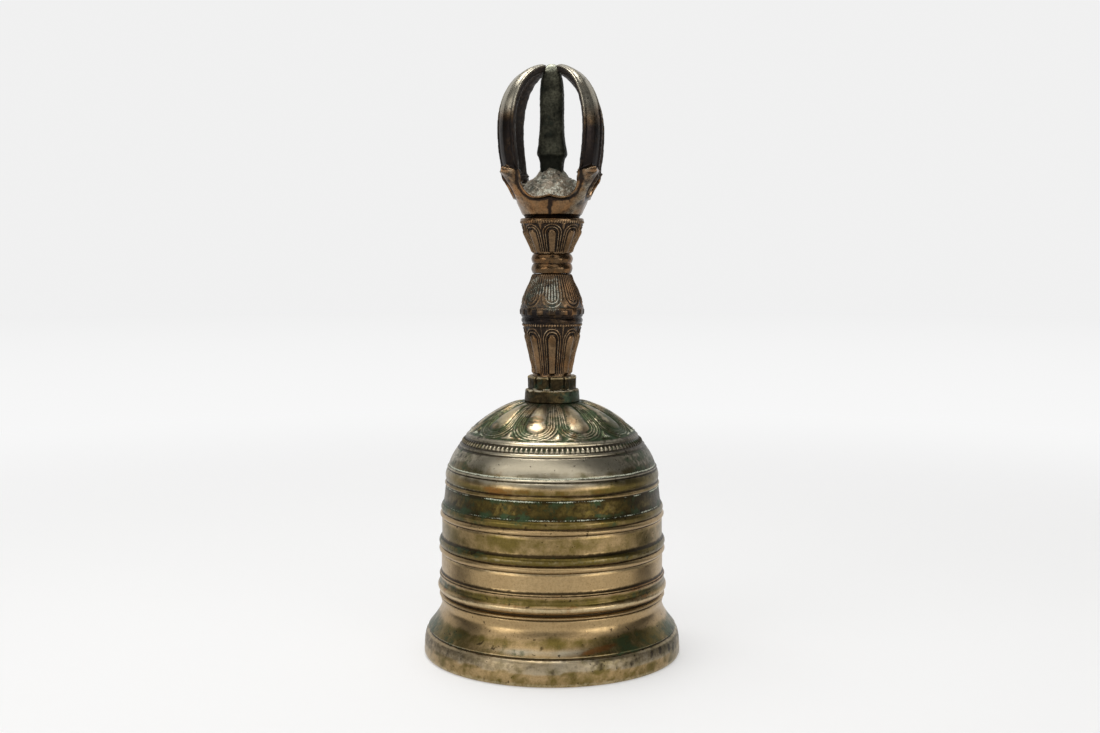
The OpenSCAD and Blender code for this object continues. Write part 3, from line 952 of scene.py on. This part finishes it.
def calyx_shell(foot):
    """The crown's foot: round below, nearly square above, with four notches."""
    outline = [(calyx_half(h), foot + h) for h in (0, 0.35, 0.7, 0.9, 1.15, 2.5, 4.1, 5.6, 7.1, 8.6,
                                                   10.1, 11.6, 13.1, 14.3, 15.4)]
    outline += [(14.8, foot + 15.6), (13.3, foot + 12), (8.6, foot + 12)]
    outline += [(BORE, foot + 12), (BORE, foot)]
    calyx = lathe("calyx", [(resample(outline, 0.7), 160)])
    co = corners(calyx)
    angle = np.arctan2(co[:, 1], co[:, 0])
    n = squareness(co[:, 2] - foot)
    k = (np.abs(np.cos(angle)) ** n + np.abs(np.sin(angle)) ** n) ** (-1 / n)
    k = 1 + (k - 1) * (np.hypot(co[:, 0], co[:, 1]) > 9)
    set_corners(calyx, co * np.stack([k, k, np.ones_like(k)], 1))
    cutters = [rotated(notch_cutter(foot), turn) for turn in (0, 90)]
    return shell_of(cut(calyx, cutters))


def mound_shell(foot):
    """The mound in the calyx that the centre prong stands in."""
    outline = [(8.5, foot + 1), (11.6, foot + 5.6), (11.9, foot + 6.5),
               *curve(lifted(foot, [(11.6, 7.0), (10.2, 9.4), (8.3, 12.3), (6.4, 13.2),
                       (5.1, 14.4), (4.4, 15.5), (3.9, 16.6)]), 3),
               (BORE, foot + 16.8), (BORE, foot + 1)]
    return shell_of(lathe("mound", [(resample(outline, 0.7), 96)]))


def prong_crown_casting():
    """Calyx, mound, prongs, beaks and lips, fused into one casting."""
    foot = span("prong_crown")[0]
    shells = [calyx_shell(foot), mound_shell(foot)]
    for k in range(4):
        shells.append(rotated(prong_shell(foot), 45 + 90 * k))
        shells.append(rotated(beak_shell(foot), 45 + 90 * k))
        shells.append(rotated(notch_lip(foot), 90 * k))
    crown = fuse("prong_crown_casting", [rotated(s, PRONG_TURN) for s in shells], CROWN_VOXEL, 4)
    co = corners(crown)
    r, up = np.hypot(co[:, 0], co[:, 1]), co[:, 2] - foot
    away = co - np.array([0, 0, foot + 24])
    facing = (away * normals(crown)).sum(1) / np.linalg.norm(away, axis=1)
    mound = smooth(6.6, 7.2, up) * (r < 11.9) * (up < 17.5)
    mound = mound + smooth(11.6, 12.2, up) * (r < 15.4) * (up < 13)
    mound = np.clip(mound, 0, 1)
    inside = smooth(0.2, -0.25, facing) * smooth(13, 14, up) * (1 - mound)
    shell = (1 - mound) * (1 - inside) * (r > 9)
    groove = bump(notch_distance(co, up), 1.15, 0.4) * shell * (up < 16)
    slit = bump(r * np.sin(np.radians(wrap(azimuth_of(co) - PRONG_TURN, 90))), 0,
                0.25 + 0.45 * bump(up, 3.4, 3.2)) * window(up, 1.1, 6.2, 0.4) * shell
    curl = corner_curls(co, up) * shell
    push = 0.03 * fractal(co, 3.2, 51) + 0.2 * mound * fractal(co, 0.9, 52)
    push += 0.1 * inside * fractal(co, 1.3, 53) - 0.3 * groove + 0.1 * curl - 0.3 * slit
    groove = np.maximum(groove, slit)
    set_corners(crown, co + normals(crown) * push[:, None])
    paint_crown(crown, up, mound, inside, groove, curl)
    return crown


def notch_distance(co, up):
    """Distance of each corner from the edge of the nearest notch, measured on the calyx's face."""
    side = wrap(azimuth_of(co) - PRONG_TURN, 90)
    across = np.abs(np.hypot(co[:, 0], co[:, 1]) * np.sin(np.radians(side)))
    edge = resample(notch_line() + [(NOTCH_HALF, 19)], 0.25)
    return np.sqrt(np.min([(across - x) ** 2 + (up - h) ** 2 for x, h in edge], axis=0))


def corner_curls(co, up):
    """Two nested scrolls on each corner of the calyx, under the beak."""
    side = wrap(azimuth_of(co) - PRONG_TURN - 45, 90)
    across = np.hypot(co[:, 0], co[:, 1]) * np.sin(np.radians(side))
    away = np.hypot(across, up - 8.6)
    return (bump(away, 2.6, 0.4) + bump(away, 1.4, 0.4)) * smooth(9.6, 7.6, up)


def paint_crown(crown, up, mound, inside, groove, curl):
    """The crown's patina, by the part of it that each corner belongs to, with a painted highlight on the
    upper prongs and the beaks' tops and a painted sheen on the calyx's corners.
    """
    co = corners(crown)
    relief = relief_of(crown, 14)
    broad, mid, fine = fractal(co, 9, 54), fractal(co, 3, 55), fractal(co, 1.1, 56)
    outside = 1 - np.clip(mound + inside, 0, 1)
    # high: the upper prongs, where pale paint stands for a painted highlight
    high = smooth(27, 42, up + 3 * broad)
    # corner: the calyx's corners, paler from wear and from a painted sheen
    corner = bump(wrap(azimuth_of(co) - PRONG_TURN - 45, 90), 0, 20)
    beak = window(up, 14.9, 17.2, 0.3) * smooth(19.3, 20.3, np.hypot(co[:, 0], co[:, 1]))
    prong = smooth(14.6, 16.5, up)
    sunk = smooth(0.03, 0.25, -relief)
    calyx = outside * (1 - prong)
    paint(crown, "worn", smooth(0.1, 0.34, relief) * (0.55 + 0.3 * fine) * outside * (1 - 0.8 * prong)
          + 0.15 * curl)
    prong = prong * (1 - beak)
    paint(crown, "dark", sunk * (1 - 0.6 * mound) * (1 - 0.7 * high)
          + outside * prong * (1 - high) * (0.86 + 0.1 * mid)
          + calyx * (0.26 + 0.25 * fine + 0.2 * mid + 0.3 * window(up, 10.5, 15, 1)) + 0.85 * inside
          + 0.8 * bump(up, 0.5, 0.6) + 0.12 * mound + 0.9 * groove)
    warm = (calyx + 0.6 * beak) * (0.6 + 0.4 * broad)
    coat(crown,
         warm=warm + 0.4 * prong * smooth(-0.2, 0.8, broad) * outside,
         olive=calyx * (0.35 + 0.4 * mid) + outside * prong * (1 - high) * 0.95,
         green=0.5 * mound + outside * prong * (0.1 + 0.3 * broad) + 0.2 * inside,
         # pale: painted highlight on the upper prongs and the beaks' tops; on the calyx, random pale
         # patches, with wear and a painted sheen at its corners
         pale=outside * (0.85 * high) + 0.5 * mound + 0.15 * beak
           + calyx * (0.5 * corner + 0.3 * mid - 0.05),
         crust=mound * (0.68 + 0.3 * fine) + 0.15 * inside,
         matte=0.75 * mound + 0.5 * inside + 0.1 * high * outside)


# ---------------------------------------------------------------- centre prong and the fastening

def spike_shell(foot, top):
    """The square centre prong, with a knob above its foot and a domed top."""
    widths = [(foot + 14.5, 3.7), (foot + 17, 3.85), (foot + 18.5, 3.95), (foot + 20, 4.35),
              (foot + 21.3, 4.95), (foot + 22.6, 4.85), (foot + 25, 4.45), (foot + 29.4, 4.05),
              (foot + 36, 3.95), (foot + 41.5, 3.95), (foot + 44.8, 3.75), (foot + 47.1, 3.25),
              (foot + 48.7, 2.8), (foot + 50.2, 2.1), (top - 0.35, 1.25), (top - 0.1, 0.45)]
    path = [(z * Z, X, Y, w, w) for z, w in curve(widths, 3)]
    return rotated(sweep(path, rounded_square(40, 6)), PRONG_TURN)


def tongue_shell(low, high, eye_r):
    """The flat tongue under the tang, with a round end."""
    end = [(3.2 * math.cos(a), low + 3.2 + 3.2 * math.sin(a)) for a in np.linspace(-math.pi, 0, 16)]
    outline = [*end, (2.6, high), (-2.6, high)]
    path = [(y * Y, X, Z, 1, 1) for y in (1, -1)]
    tongue = new_object("tongue", *sweep(path, outline))
    eye = tube([(0, -4, low + 3.2), (0, 0, low + 3.2), (0, 4, low + 3.2)], eye_r, 32)
    return shell_of(cut(tongue, [eye]))


def tang_shell(low, high, slot):
    """The round tang, with a slot through it for the wedge."""
    line = [(0, 0, z) for z in np.linspace(low, high, 40)]
    tang = new_object("tang", *tube(line, 2.95, 40))
    half = 0.8
    bottom, top = slot
    path = [(x * X, Y, Z, 1, 1) for x in (-9, 9)]
    box = sweep(path, [(-half, bottom), (half, bottom), (half, top), (-half, top)])
    return shell_of(cut(tang, [box]))


def centre_prong_forging():
    """Square spike, tang with the wedge's slot, and tongue with the eye."""
    low, top = span("centre_prong")
    foot = span("prong_crown")[0]
    wedge_low, wedge_high = span("tang_wedge")
    shells = [spike_shell(foot, top),
              tang_shell(wedge_low - 1.4, foot + 17, (wedge_low - 0.3, wedge_high + 0.1)),
              tongue_shell(low, wedge_low - 1.0, 1.6)]
    prong = fuse("centre_prong_forging", shells, PRONG_VOXEL, 2)
    co = corners(prong)
    spike = smooth(foot + 16, foot + 17, co[:, 2])
    push = spike * (0.1 * fractal(co, 0.9, 61) + 0.07 * fractal(co, 3.5, 62))
    push = push * (1 - smooth(top - 1.2, top - 0.2, co[:, 2])) + (1 - spike) * 0.03 * fractal(co, 2, 63)
    set_corners(prong, co + normals(prong) * push[:, None])
    co = corners(prong)
    up, mid = co[:, 2] - foot, fractal(co, 4, 64)
    relief = relief_of(prong, 10)
    light_top = smooth(46.5, 50.8, up + 0.8 * mid)
    coat(prong,
         pale=0.58 * light_top,
         green=0.15 + 0.25 * mid,
         dark=(1 - light_top) * (0.56 + 0.25 * mid) + 0.4 * window(up, 15.5, 21, 0.6)
           + smooth(0.02, 0.15, -relief) * 0.4,
         worn=smooth(0.08, 0.3, relief) * 0.4,
         crust=0.3 + 0.12 * smooth(28, 44, up) + 0.1 * light_top)
    return prong


def washer_piece():
    low, high = span("crown_washer")
    r = reach("crown_washer")
    outline = [(r - 0.5, low), (r - 0.1, low + 0.2), (r, low + 0.6), (r - 0.05, high - 0.2),
               (r - 0.3, high), (BORE, high), (BORE, low)]

    def relief(azimuth, r, z, place):
        return (0.12 * fractal(place, 3, 71) + 0.03 * fractal(place, 0.8, 72) - 0.1) * (r > 3.5)

    return lathe("crown_washer_disc", [(resample(outline, 0.4), 144)], relief)


def wedge_piece():
    """A forged wedge, thinner at one end, with worn edges."""
    low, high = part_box("tang_wedge")
    x0, x1 = low.x / MM, high.x / MM
    z0, z1 = low.z / MM, high.z / MM
    half_t = high.y / MM
    path = []
    for t in np.linspace(0, 1, 40):
        foot = z0 + 0.75 * (1 - t)
        tall = (z1 - foot) / 2
        ends = math.sqrt(max(0.05, 1 - (2 * abs(t - 0.5)) ** 14))
        path.append((np.array([x0 + (x1 - x0) * t, 0, (z1 + foot) / 2]), Y,
                     Z, half_t * ends * 0.98, tall * ends * 0.98))
    wedge = new_object("tang_wedge_key", *sweep(path, rounded_square(28, 8)))
    return roughened(wedge, 0.04, 1.5, 73)


def swivel_ring_piece():
    low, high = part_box("swivel_ring")
    wire = high.x / MM
    centre = (low.z + high.z) / 2 / MM
    r = (high.z - low.z) / 2 / MM - wire
    line = [(0, r * math.cos(a), centre + r * math.sin(a)) for a in np.linspace(0, TURN, 97)[:-1]]
    radii = [wire * (0.97 - 0.05 * bump(wrap(k * 360 / 96 - 40, 360), 0, 6)) for k in range(96)]
    ring = new_object("swivel_ring_wire", *tube(line, radii, 20, closed=True))
    return roughened(ring, 0.02, 1.1, 74)


def clapper_shank_piece():
    """A round rod drawn out to a thinner end that is bent into the eye."""
    low, top = span("clapper_shank")
    eye_r, wire, rod = 2.6, 0.87, 1.48
    centre = top - eye_r - 0.9
    line = [(0, 0, z) for z in np.linspace(low, centre - eye_r - 2.2, 60)]
    radii = [rod] * 60
    bend = curve([(0, 0, centre - eye_r - 2.2), (0.25, 0, centre - eye_r - 1.2),
                  (1.35, 0, centre - 2.2), (2.5, 0, centre - 0.7)], 6)[1:]
    line += bend
    radii += list(np.linspace(rod, wire, len(bend)))
    for a in np.radians(np.linspace(-8, 236, 56)):
        line.append((eye_r * math.cos(a), 0, centre + eye_r * math.sin(a)))
        radii.append(wire)
    for t in np.linspace(0.1, 1, 8):
        line.append((-1.45 + 0.55 * t, 0, centre - 2.16 - 1.3 * t))
        radii.append(wire * (1 - 0.25 * t))
    shank = new_object("clapper_shank_rod", *tube(line, radii, 24))
    return roughened(shank, 0.05, 2.5, 75)


def bob_piece():
    low, high = span("clapper_bob")
    r = reach("clapper_bob")
    centre, bore, neck = low + r, 1.55, 2.6
    ball = [(r * math.cos(a), centre + r * math.sin(a)) for a in np.radians(np.linspace(-78, 34, 40))]
    outline = [(bore, low + 0.25), *ball, *curve([ball[-1], (4.9, centre + 7.2), (3.2, centre + 11),
                                                  (neck, high - 0.4)], 6)[1:],
               (neck - 0.35, high), (bore, high)]

    def relief(azimuth, r, z, place):
        return (0.16 * fractal(place, 4.5, 76) + 0.03 * fractal(place, 1.2, 77) - 0.16) * (r > 1.7)

    return lathe("clapper_bob_forging", [(resample(outline, 0.4), 176)], relief)


def paint_iron(piece):
    """Rust, hollows and wear of a forged piece."""
    co = corners(piece)
    relief = relief_of(piece, 8)
    coat(piece,
         warm=0.45 + 0.4 * fractal(co, 4, 81),
         dark=0.4 + 0.35 * fractal(co, 7, 82) + smooth(0, 0.1, -relief) * 0.4,
         worn=smooth(0.01, 0.12, relief) * 0.6)


# ---------------------------------------------------------------- materials

def node(tree, kind, inputs=None, **settings):
    """A shader node. inputs are numbers, colours or the sockets that feed it."""
    made = tree.nodes.new("ShaderNode" + kind)
    for key, value in settings.items():
        setattr(made, key, value)
    for key, value in (inputs or {}).items():
        if isinstance(value, bpy.types.NodeSocket):
            tree.links.new(value, made.inputs[key])
        else:
            made.inputs[key].default_value = value
    return made


def colour(r, g, b):
    """A colour given by its brightness on screen, 0 to 255, as the linear values a shader takes."""
    return tuple(((c / 255 + 0.055) / 1.055) ** 2.4 if c > 10 else c / 255 / 12.92
                 for c in (r, g, b)) + (1.0,)


def grain(tree, place, scale, detail, rough=0.6):
    return node(tree, "TexNoise", {"Vector": place, "Scale": scale, "Detail": detail,
                                   "Roughness": rough}).outputs["Fac"]


def math_node(tree, operation, a, b, c=0.0):
    return node(tree, "Math", {0: a, 1: b, 2: c}, operation=operation).outputs[0]


def broken_mask(tree, name, texture, spread, low=0.35, high=0.65):
    """A painted mask with its edges broken up by a texture."""
    painted = node(tree, "Attribute", attribute_name=name).outputs["Fac"]
    centred = math_node(tree, "SUBTRACT", texture, 0.5)
    summed = math_node(tree, "MULTIPLY_ADD", centred, spread, painted)
    return node(tree, "MapRange", {"Value": summed, "From Min": low, "From Max": high},
                interpolation_type="SMOOTHSTEP").outputs[0]


def mixed(tree, share, a, b):
    return node(tree, "MixRGB", {"Fac": share, "Color1": a, "Color2": b}).outputs[0]


def ramp(tree, value, low, high, bottom=0.0, top=1.0):
    """Output that rises from bottom to top while value goes from low to high."""
    return node(tree, "MapRange", {"Value": value, "From Min": low, "From Max": high,
                                   "To Min": bottom, "To Max": top}).outputs[0]


def aged_metal(name, tones, rough=(0.3, 0.42), relief=0.25, turned=0.0, grainy=0.3):
    """Cast metal under its patina. The painted masks say where it is pale, worn, dark, olive,
    green, warm or crusted, and noise breaks them up and varies every colour. On the bell's body
    the pale, worn, dark and olive masks also hold painted highlights and shade, and on the crown
    the pale one holds a painted highlight and sheen. tones are colours as they look on screen,
    from 0 to 255."""
    tones = {tone: colour(*rgb) for tone, rgb in tones.items()}
    mat = bpy.data.materials.new(name)
    mat.use_nodes = True
    tree = mat.node_tree
    tree.nodes.clear()

    def times(a, b):
        return math_node(tree, "MULTIPLY", a, b)

    def scaled(a, b, c):
        """a * b + c"""
        return math_node(tree, "MULTIPLY_ADD", a, b, c)

    place = node(tree, "TexCoord").outputs["Object"]
    broad = grain(tree, place, 70, 5)
    mid = grain(tree, place, 240, 5)
    fine = grain(tree, place, 700, 7, 0.65)
    grit = grain(tree, place, 2600, 3, 0.7)
    stretched = node(tree, "VectorMath", {0: place, 1: (1, 1, 16)}, operation="MULTIPLY").outputs[0]
    lines = grain(tree, stretched, 160, 4)
    blend = times(math_node(tree, "ADD", mid, fine), 0.5)
    green_paint = node(tree, "Attribute", attribute_name="green").outputs["Fac"]
    matte = node(tree, "Attribute", attribute_name="matte").outputs["Fac"]

    base = mixed(tree, broad, tones["metal"], tones["shade"])
    base = mixed(tree, ramp(tree, lines, 0.35, 0.7, top=turned), base, tones["shade"])
    base = mixed(tree, ramp(tree, fine, 0.52, 0.72, top=0.6), base, tones["shade"])
    grains = ramp(tree, grain(tree, place, 1500, 4, 0.7), 0.45, 0.7, top=grainy)
    is_dark = broken_mask(tree, "dark", fine, 0.8, 0.25, 0.9)
    is_green = broken_mask(tree, "green", blend, 2.2, 0.3, 0.85)
    is_crust = broken_mask(tree, "crust", grit, 1.5, 0.72, 0.95)
    is_pale = broken_mask(tree, "pale", broad, 0.6, 0.2, 0.8)
    grains = times(grains, scaled(is_pale, -0.75, 1.0))
    layers = (("pale", is_pale, 0.95),
              ("olive", broken_mask(tree, "olive", mid, 1.3, 0.15, 0.95), 0.92),
              ("warm", broken_mask(tree, "warm", mid, 1.5, 0.35, 1.0), 0.75),
              ("dark", is_dark, 0.9),
              ("worn", broken_mask(tree, "worn", fine, 0.8, 0.25, 0.85), 0.75))
    for tone, mask, strength in layers:
        base = mixed(tree, times(mask, strength), base, tones[tone])
    verdigris = mixed(tree, ramp(tree, mid, 0.38, 0.62), tones["green"], tones["leaf"])
    base = mixed(tree, times(is_green, 0.85), base, verdigris)
    speckled = scaled(green_paint, 0.1, grain(tree, place, 560, 2, 0.5))
    base = mixed(tree, grains, base, tones["dark"])
    pits = ramp(tree, speckled, 0.69, 0.74)
    base = mixed(tree, times(pits, 0.75), base, tones["dark"])
    base = mixed(tree, is_crust, base, tones["crust"])

    dull = math_node(tree, "MAXIMUM", times(is_green, 0.22), is_crust)
    dull = math_node(tree, "MAXIMUM", dull, matte)
    metallic = scaled(dull, -0.85, 1.0)
    roughness = ramp(tree, fine, 0.3, 0.7, *rough)
    roughness = scaled(dull, 0.3, roughness)
    roughness = scaled(is_dark, 0.1, roughness)
    height = scaled(grit, 0.35, fine)
    height = scaled(pits, -0.8, height)
    height = scaled(is_crust, 0.9, height)
    height = scaled(lines, turned, height)
    bumps = node(tree, "Bump", {"Height": height, "Strength": relief, "Distance": 0.00012})
    shader = node(tree, "BsdfPrincipled", {"Base Color": base, "Metallic": metallic,
                                           "Roughness": roughness, "Normal": bumps.outputs[0]})
    node(tree, "OutputMaterial", {"Surface": shader.outputs[0]})
    return mat


def body_bronze():
    """Golden bronze, greyer on the shoulder, with green patina and pale crust in the grooves."""
    tones = {"metal": (184, 159, 118), "shade": (156, 130, 90),
             "pale": (172, 164, 144), "worn": (208, 192, 154),
             "dark": (36, 28, 16), "olive": (92, 80, 34),
             "green": (46, 56, 24), "leaf": (48, 70, 44),
             "warm": (140, 92, 48), "crust": (196, 200, 178)}
    return aged_metal("body_bronze", tones, rough=(0.26, 0.38), relief=0.25, turned=0.45)


def collar_bronze():
    """Dull bronze under dark green patina."""
    tones = {"metal": (112, 96, 64), "shade": (76, 64, 42),
             "pale": (150, 140, 118), "worn": (168, 150, 116),
             "dark": (24, 20, 15), "olive": (70, 60, 30),
             "green": (30, 42, 30), "leaf": (46, 68, 52),
             "warm": (98, 68, 40), "crust": (180, 170, 146)}
    return aged_metal("collar_bronze", tones, rough=(0.38, 0.52), relief=0.5)


def handle_bronze():
    """Dark handled bronze with worn brown high places and blue-black hollows."""
    tones = {"metal": (138, 112, 82), "shade": (92, 73, 54),
             "pale": (168, 162, 146), "worn": (188, 168, 138),
             "dark": (24, 23, 25), "olive": (64, 49, 31),
             "green": (46, 50, 44), "leaf": (62, 72, 62),
             "warm": (148, 108, 70), "crust": (188, 188, 172)}
    return aged_metal("handle_bronze", tones, rough=(0.19, 0.31), relief=0.12, grainy=0.45)


def rough_bronze():
    """Black-green rough casting, pale where hands have worn its top."""
    tones = {"metal": (92, 90, 76), "shade": (56, 57, 48),
             "pale": (176, 178, 160), "worn": (150, 148, 130),
             "dark": (24, 25, 21), "olive": (60, 58, 40),
             "green": (42, 50, 44), "leaf": (66, 80, 70),
             "warm": (90, 72, 50), "crust": (168, 168, 150)}
    return aged_metal("rough_bronze", tones, rough=(0.36, 0.56), relief=0.9, grainy=0.8)


def forged_iron():
    """Forged iron with a brown bloom of rust."""
    tones = {"metal": (86, 80, 74), "shade": (58, 52, 47),
             "pale": (120, 116, 110), "worn": (134, 126, 116),
             "dark": (28, 24, 21), "olive": (70, 54, 38),
             "green": (60, 50, 38), "leaf": (70, 58, 42),
             "warm": (98, 58, 34), "crust": (120, 84, 56)}
    return aged_metal("forged_iron", tones, rough=(0.45, 0.62), relief=0.7)


# ---------------------------------------------------------------- studio

PAPER = 0.54          # share of light that the floor sends back
PAPER_GLOW = 0.39     # light that it adds of its own
FLOOR_FAR = 0.94      # how bright the floor is away from the bell
BACKDROP = 0.875      # how bright the backdrop is


def plain_surface(name, tone, glow):
    """Matt paper that glows a little."""
    mat = bpy.data.materials.new(name)
    mat.use_nodes = True
    tree = mat.node_tree
    tree.nodes.clear()
    paper = node(tree, "BsdfPrincipled", {"Base Color": (tone, tone, tone, 1), "Roughness": 0.9,
                                          "Specular IOR Level": 0.1,
                                          "Emission Color": (1, 1, 1, 1), "Emission Strength": glow})
    node(tree, "OutputMaterial", {"Surface": paper.outputs[0]})
    return mat


def floor_paper():
    """Paper that turns into an even glow away from the bell, so that no edge of it shows."""
    mat = plain_surface("paper", PAPER, PAPER_GLOW)
    tree = mat.node_tree
    paper = tree.nodes["Principled BSDF"].outputs[0]
    place = node(tree, "TexCoord").outputs["Object"]
    distance = node(tree, "VectorMath", {0: place}, operation="LENGTH").outputs["Value"]
    share = node(tree, "MapRange", {"Value": distance, "From Min": 0.15, "From Max": 0.7},
                 interpolation_type="SMOOTHSTEP").outputs[0]
    glow = node(tree, "MapRange", {"Value": distance, "From Min": 0.5, "From Max": 2.5,
                                   "To Min": FLOOR_FAR, "To Max": BACKDROP}).outputs[0]
    even = node(tree, "Emission", {"Strength": glow}).outputs[0]
    both = node(tree, "MixShader", {0: share, 1: paper, 2: even}).outputs[0]
    tree.links.new(both, tree.nodes["Material Output"].inputs["Surface"])
    return mat


def staged(name, co, faces, material, seen):
    """A part of the studio. seen says whether the camera sees it, or only the metal does."""
    obj = new_object(name, np.array(co, float) / MM, faces)
    obj.data.materials.append(material)
    obj.visible_camera = seen
    return obj


def floor():
    r, sides, z = 2.6, 64, -0.0001
    co = [(r * math.cos(TURN * k / sides), r * math.sin(TURN * k / sides), z) for k in range(sides)]
    return staged("floor", co, [list(range(sides))], floor_paper(), True)


def curved_sheet(name, r, heights, middle, half, steps, material, metal_only=True):
    """An upright sheet round the bell, its middle at an azimuth. metal_only: only the metal
    mirrors it, and it neither lights nor shades anything."""
    angles = [FRONT + math.radians(middle - half + 2 * half * k / steps) for k in range(steps + 1)]
    co = [(r * math.cos(a), r * math.sin(a), z) for z in heights for a in angles]
    faces = [[k, k + 1, steps + 2 + k, steps + 1 + k] for k in range(steps)]
    sheet = staged(name, co, faces, plain_surface(*material), False)
    if metal_only:
        sheet.visible_diffuse = sheet.visible_shadow = False
    return sheet


def reflectors():
    """Pale sheets behind and before the bell."""
    curved_sheet("reflector_wall", 1.5, (0, 0.62), 180, 70, 32, ("wall_paper", 0.7, 0.4), False)
    curved_sheet("high_wall", 1.45, (0.62, 1.9), 180, 70, 32, ("high_paper", 0.5, 0.5))
    curved_sheet("front_sheet", 1.7, (0, 0.42), 0, 60, 16, ("front_paper", 0.4, 0.8))


def dark_sides():
    """Low dark sheets on the bell's left and right."""
    for name, middle, top in (("dark_left", -92, 0.022), ("dark_right", 94, 0.028)):
        curved_sheet(name, 0.12, (0, top), middle, 15, 6, (name + "_cloth", 0.03, 0.0))


def sky():
    """A white backdrop round everything, which only the camera sees."""
    r, rows, columns = 5.0, 16, 32
    co, faces = [], []
    for i in range(rows + 1):
        a = -math.pi / 2 + math.pi * i / rows
        co += [(r * math.cos(a) * math.cos(TURN * j / columns),
                r * math.cos(a) * math.sin(TURN * j / columns), r * math.sin(a))
               for j in range(columns)]
    for i in range(rows):
        for j in range(columns):
            low, high, k = i * columns, (i + 1) * columns, (j + 1) % columns
            faces.append([low + j, low + k, high + k, high + j])
    obj = staged("backdrop", co, faces, plain_surface("backdrop_white", 0.0, BACKDROP), True)
    obj.visible_glossy = obj.visible_diffuse = obj.visible_shadow = False
    return obj


def softbox(name, place, aim, size, energy):
    light = bpy.data.lights.new(name, "AREA")
    light.shape = "RECTANGLE"
    light.size, light.size_y = size
    light.energy = energy
    light.color = (1, 0.985, 0.965)
    obj = bpy.data.objects.new(name, light)
    bpy.context.scene.collection.objects.link(obj)
    obj.location = place
    obj.rotation_euler = (Vector(aim) - Vector(place)).to_track_quat("-Z", "Y").to_euler()
    obj.visible_camera = False
    return obj


def studio():
    floor()
    reflectors()
    sky()
    dark_sides()
    softbox("key_box", (-0.2, -0.6, 0.76), (0, 0, 0.09), (2.1, 0.42), 4.3)
    softbox("top_box", (-0.08, 0.1, 0.95), (0, 0, 0.1), (0.5, 0.45), 6.0)
    softbox("left_box", (-0.8, -0.75, 0.24), (0, 0, 0.07), (0.6, 0.36), 2.2)
    softbox("right_box", (0.8, -0.75, 0.22), (0, 0, 0.07), (0.6, 0.34), 2.0)
    world = bpy.data.worlds.new("room")
    world.use_nodes = True
    background = world.node_tree.nodes["Background"]
    background.inputs["Color"].default_value = (0.9, 0.95, 1.0, 1)
    background.inputs["Strength"].default_value = 0.1
    bpy.context.scene.world = world
    bpy.context.scene.view_settings.view_transform = "Standard"


def camera():
    """The photographer's view: a little above the bell's middle, looking slightly down."""
    data = bpy.data.cameras.new("camera")
    data.lens = 43.985
    data.sensor_width = 36
    data.clip_start, data.clip_end = 0.01, 20
    obj = bpy.data.objects.new("camera", data)
    bpy.context.scene.collection.objects.link(obj)
    obj.location = (-0.0007, -0.45762, 0.13788)
    obj.rotation_euler = (math.radians(90 - 4.954), 0, 0)
    bpy.context.scene.camera = obj


# ---------------------------------------------------------------- assembly

def add(piece, body, node_name, material):
    piece.data.materials.append(material)
    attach(piece, body)
    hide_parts(node_name)


def build():
    body, collar, handle = body_bronze(), collar_bronze(), handle_bronze()
    rough, iron = rough_bronze(), forged_iron()
    add(bell_casting(), "bell", "bell_body", body)
    add(lower_collar_piece(), "bell", "lower_collar", collar)
    add(upper_collar_piece(), "bell", "upper_collar", collar)
    add(grip_casting(), "bell", "grip_baluster", handle)
    add(neck_ring_piece(), "bell", "neck_ring", handle)
    add(lotus_cup_casting(), "bell", "lotus_cup", handle)
    add(prong_crown_casting(), "bell", "prong_crown", handle)
    add(centre_prong_forging(), "bell", "centre_prong", rough)
    for piece, riding, node_name in ((washer_piece(), "bell", "crown_washer"),
                                     (wedge_piece(), "bell", "tang_wedge"),
                                     (swivel_ring_piece(), "swivel", "swivel_ring"),
                                     (clapper_shank_piece(), "clapper", "clapper_shank"),
                                     (bob_piece(), "clapper", "clapper_bob")):
        paint_iron(piece)
        add(piece, riding, node_name, iron)


camera()
studio()
build()
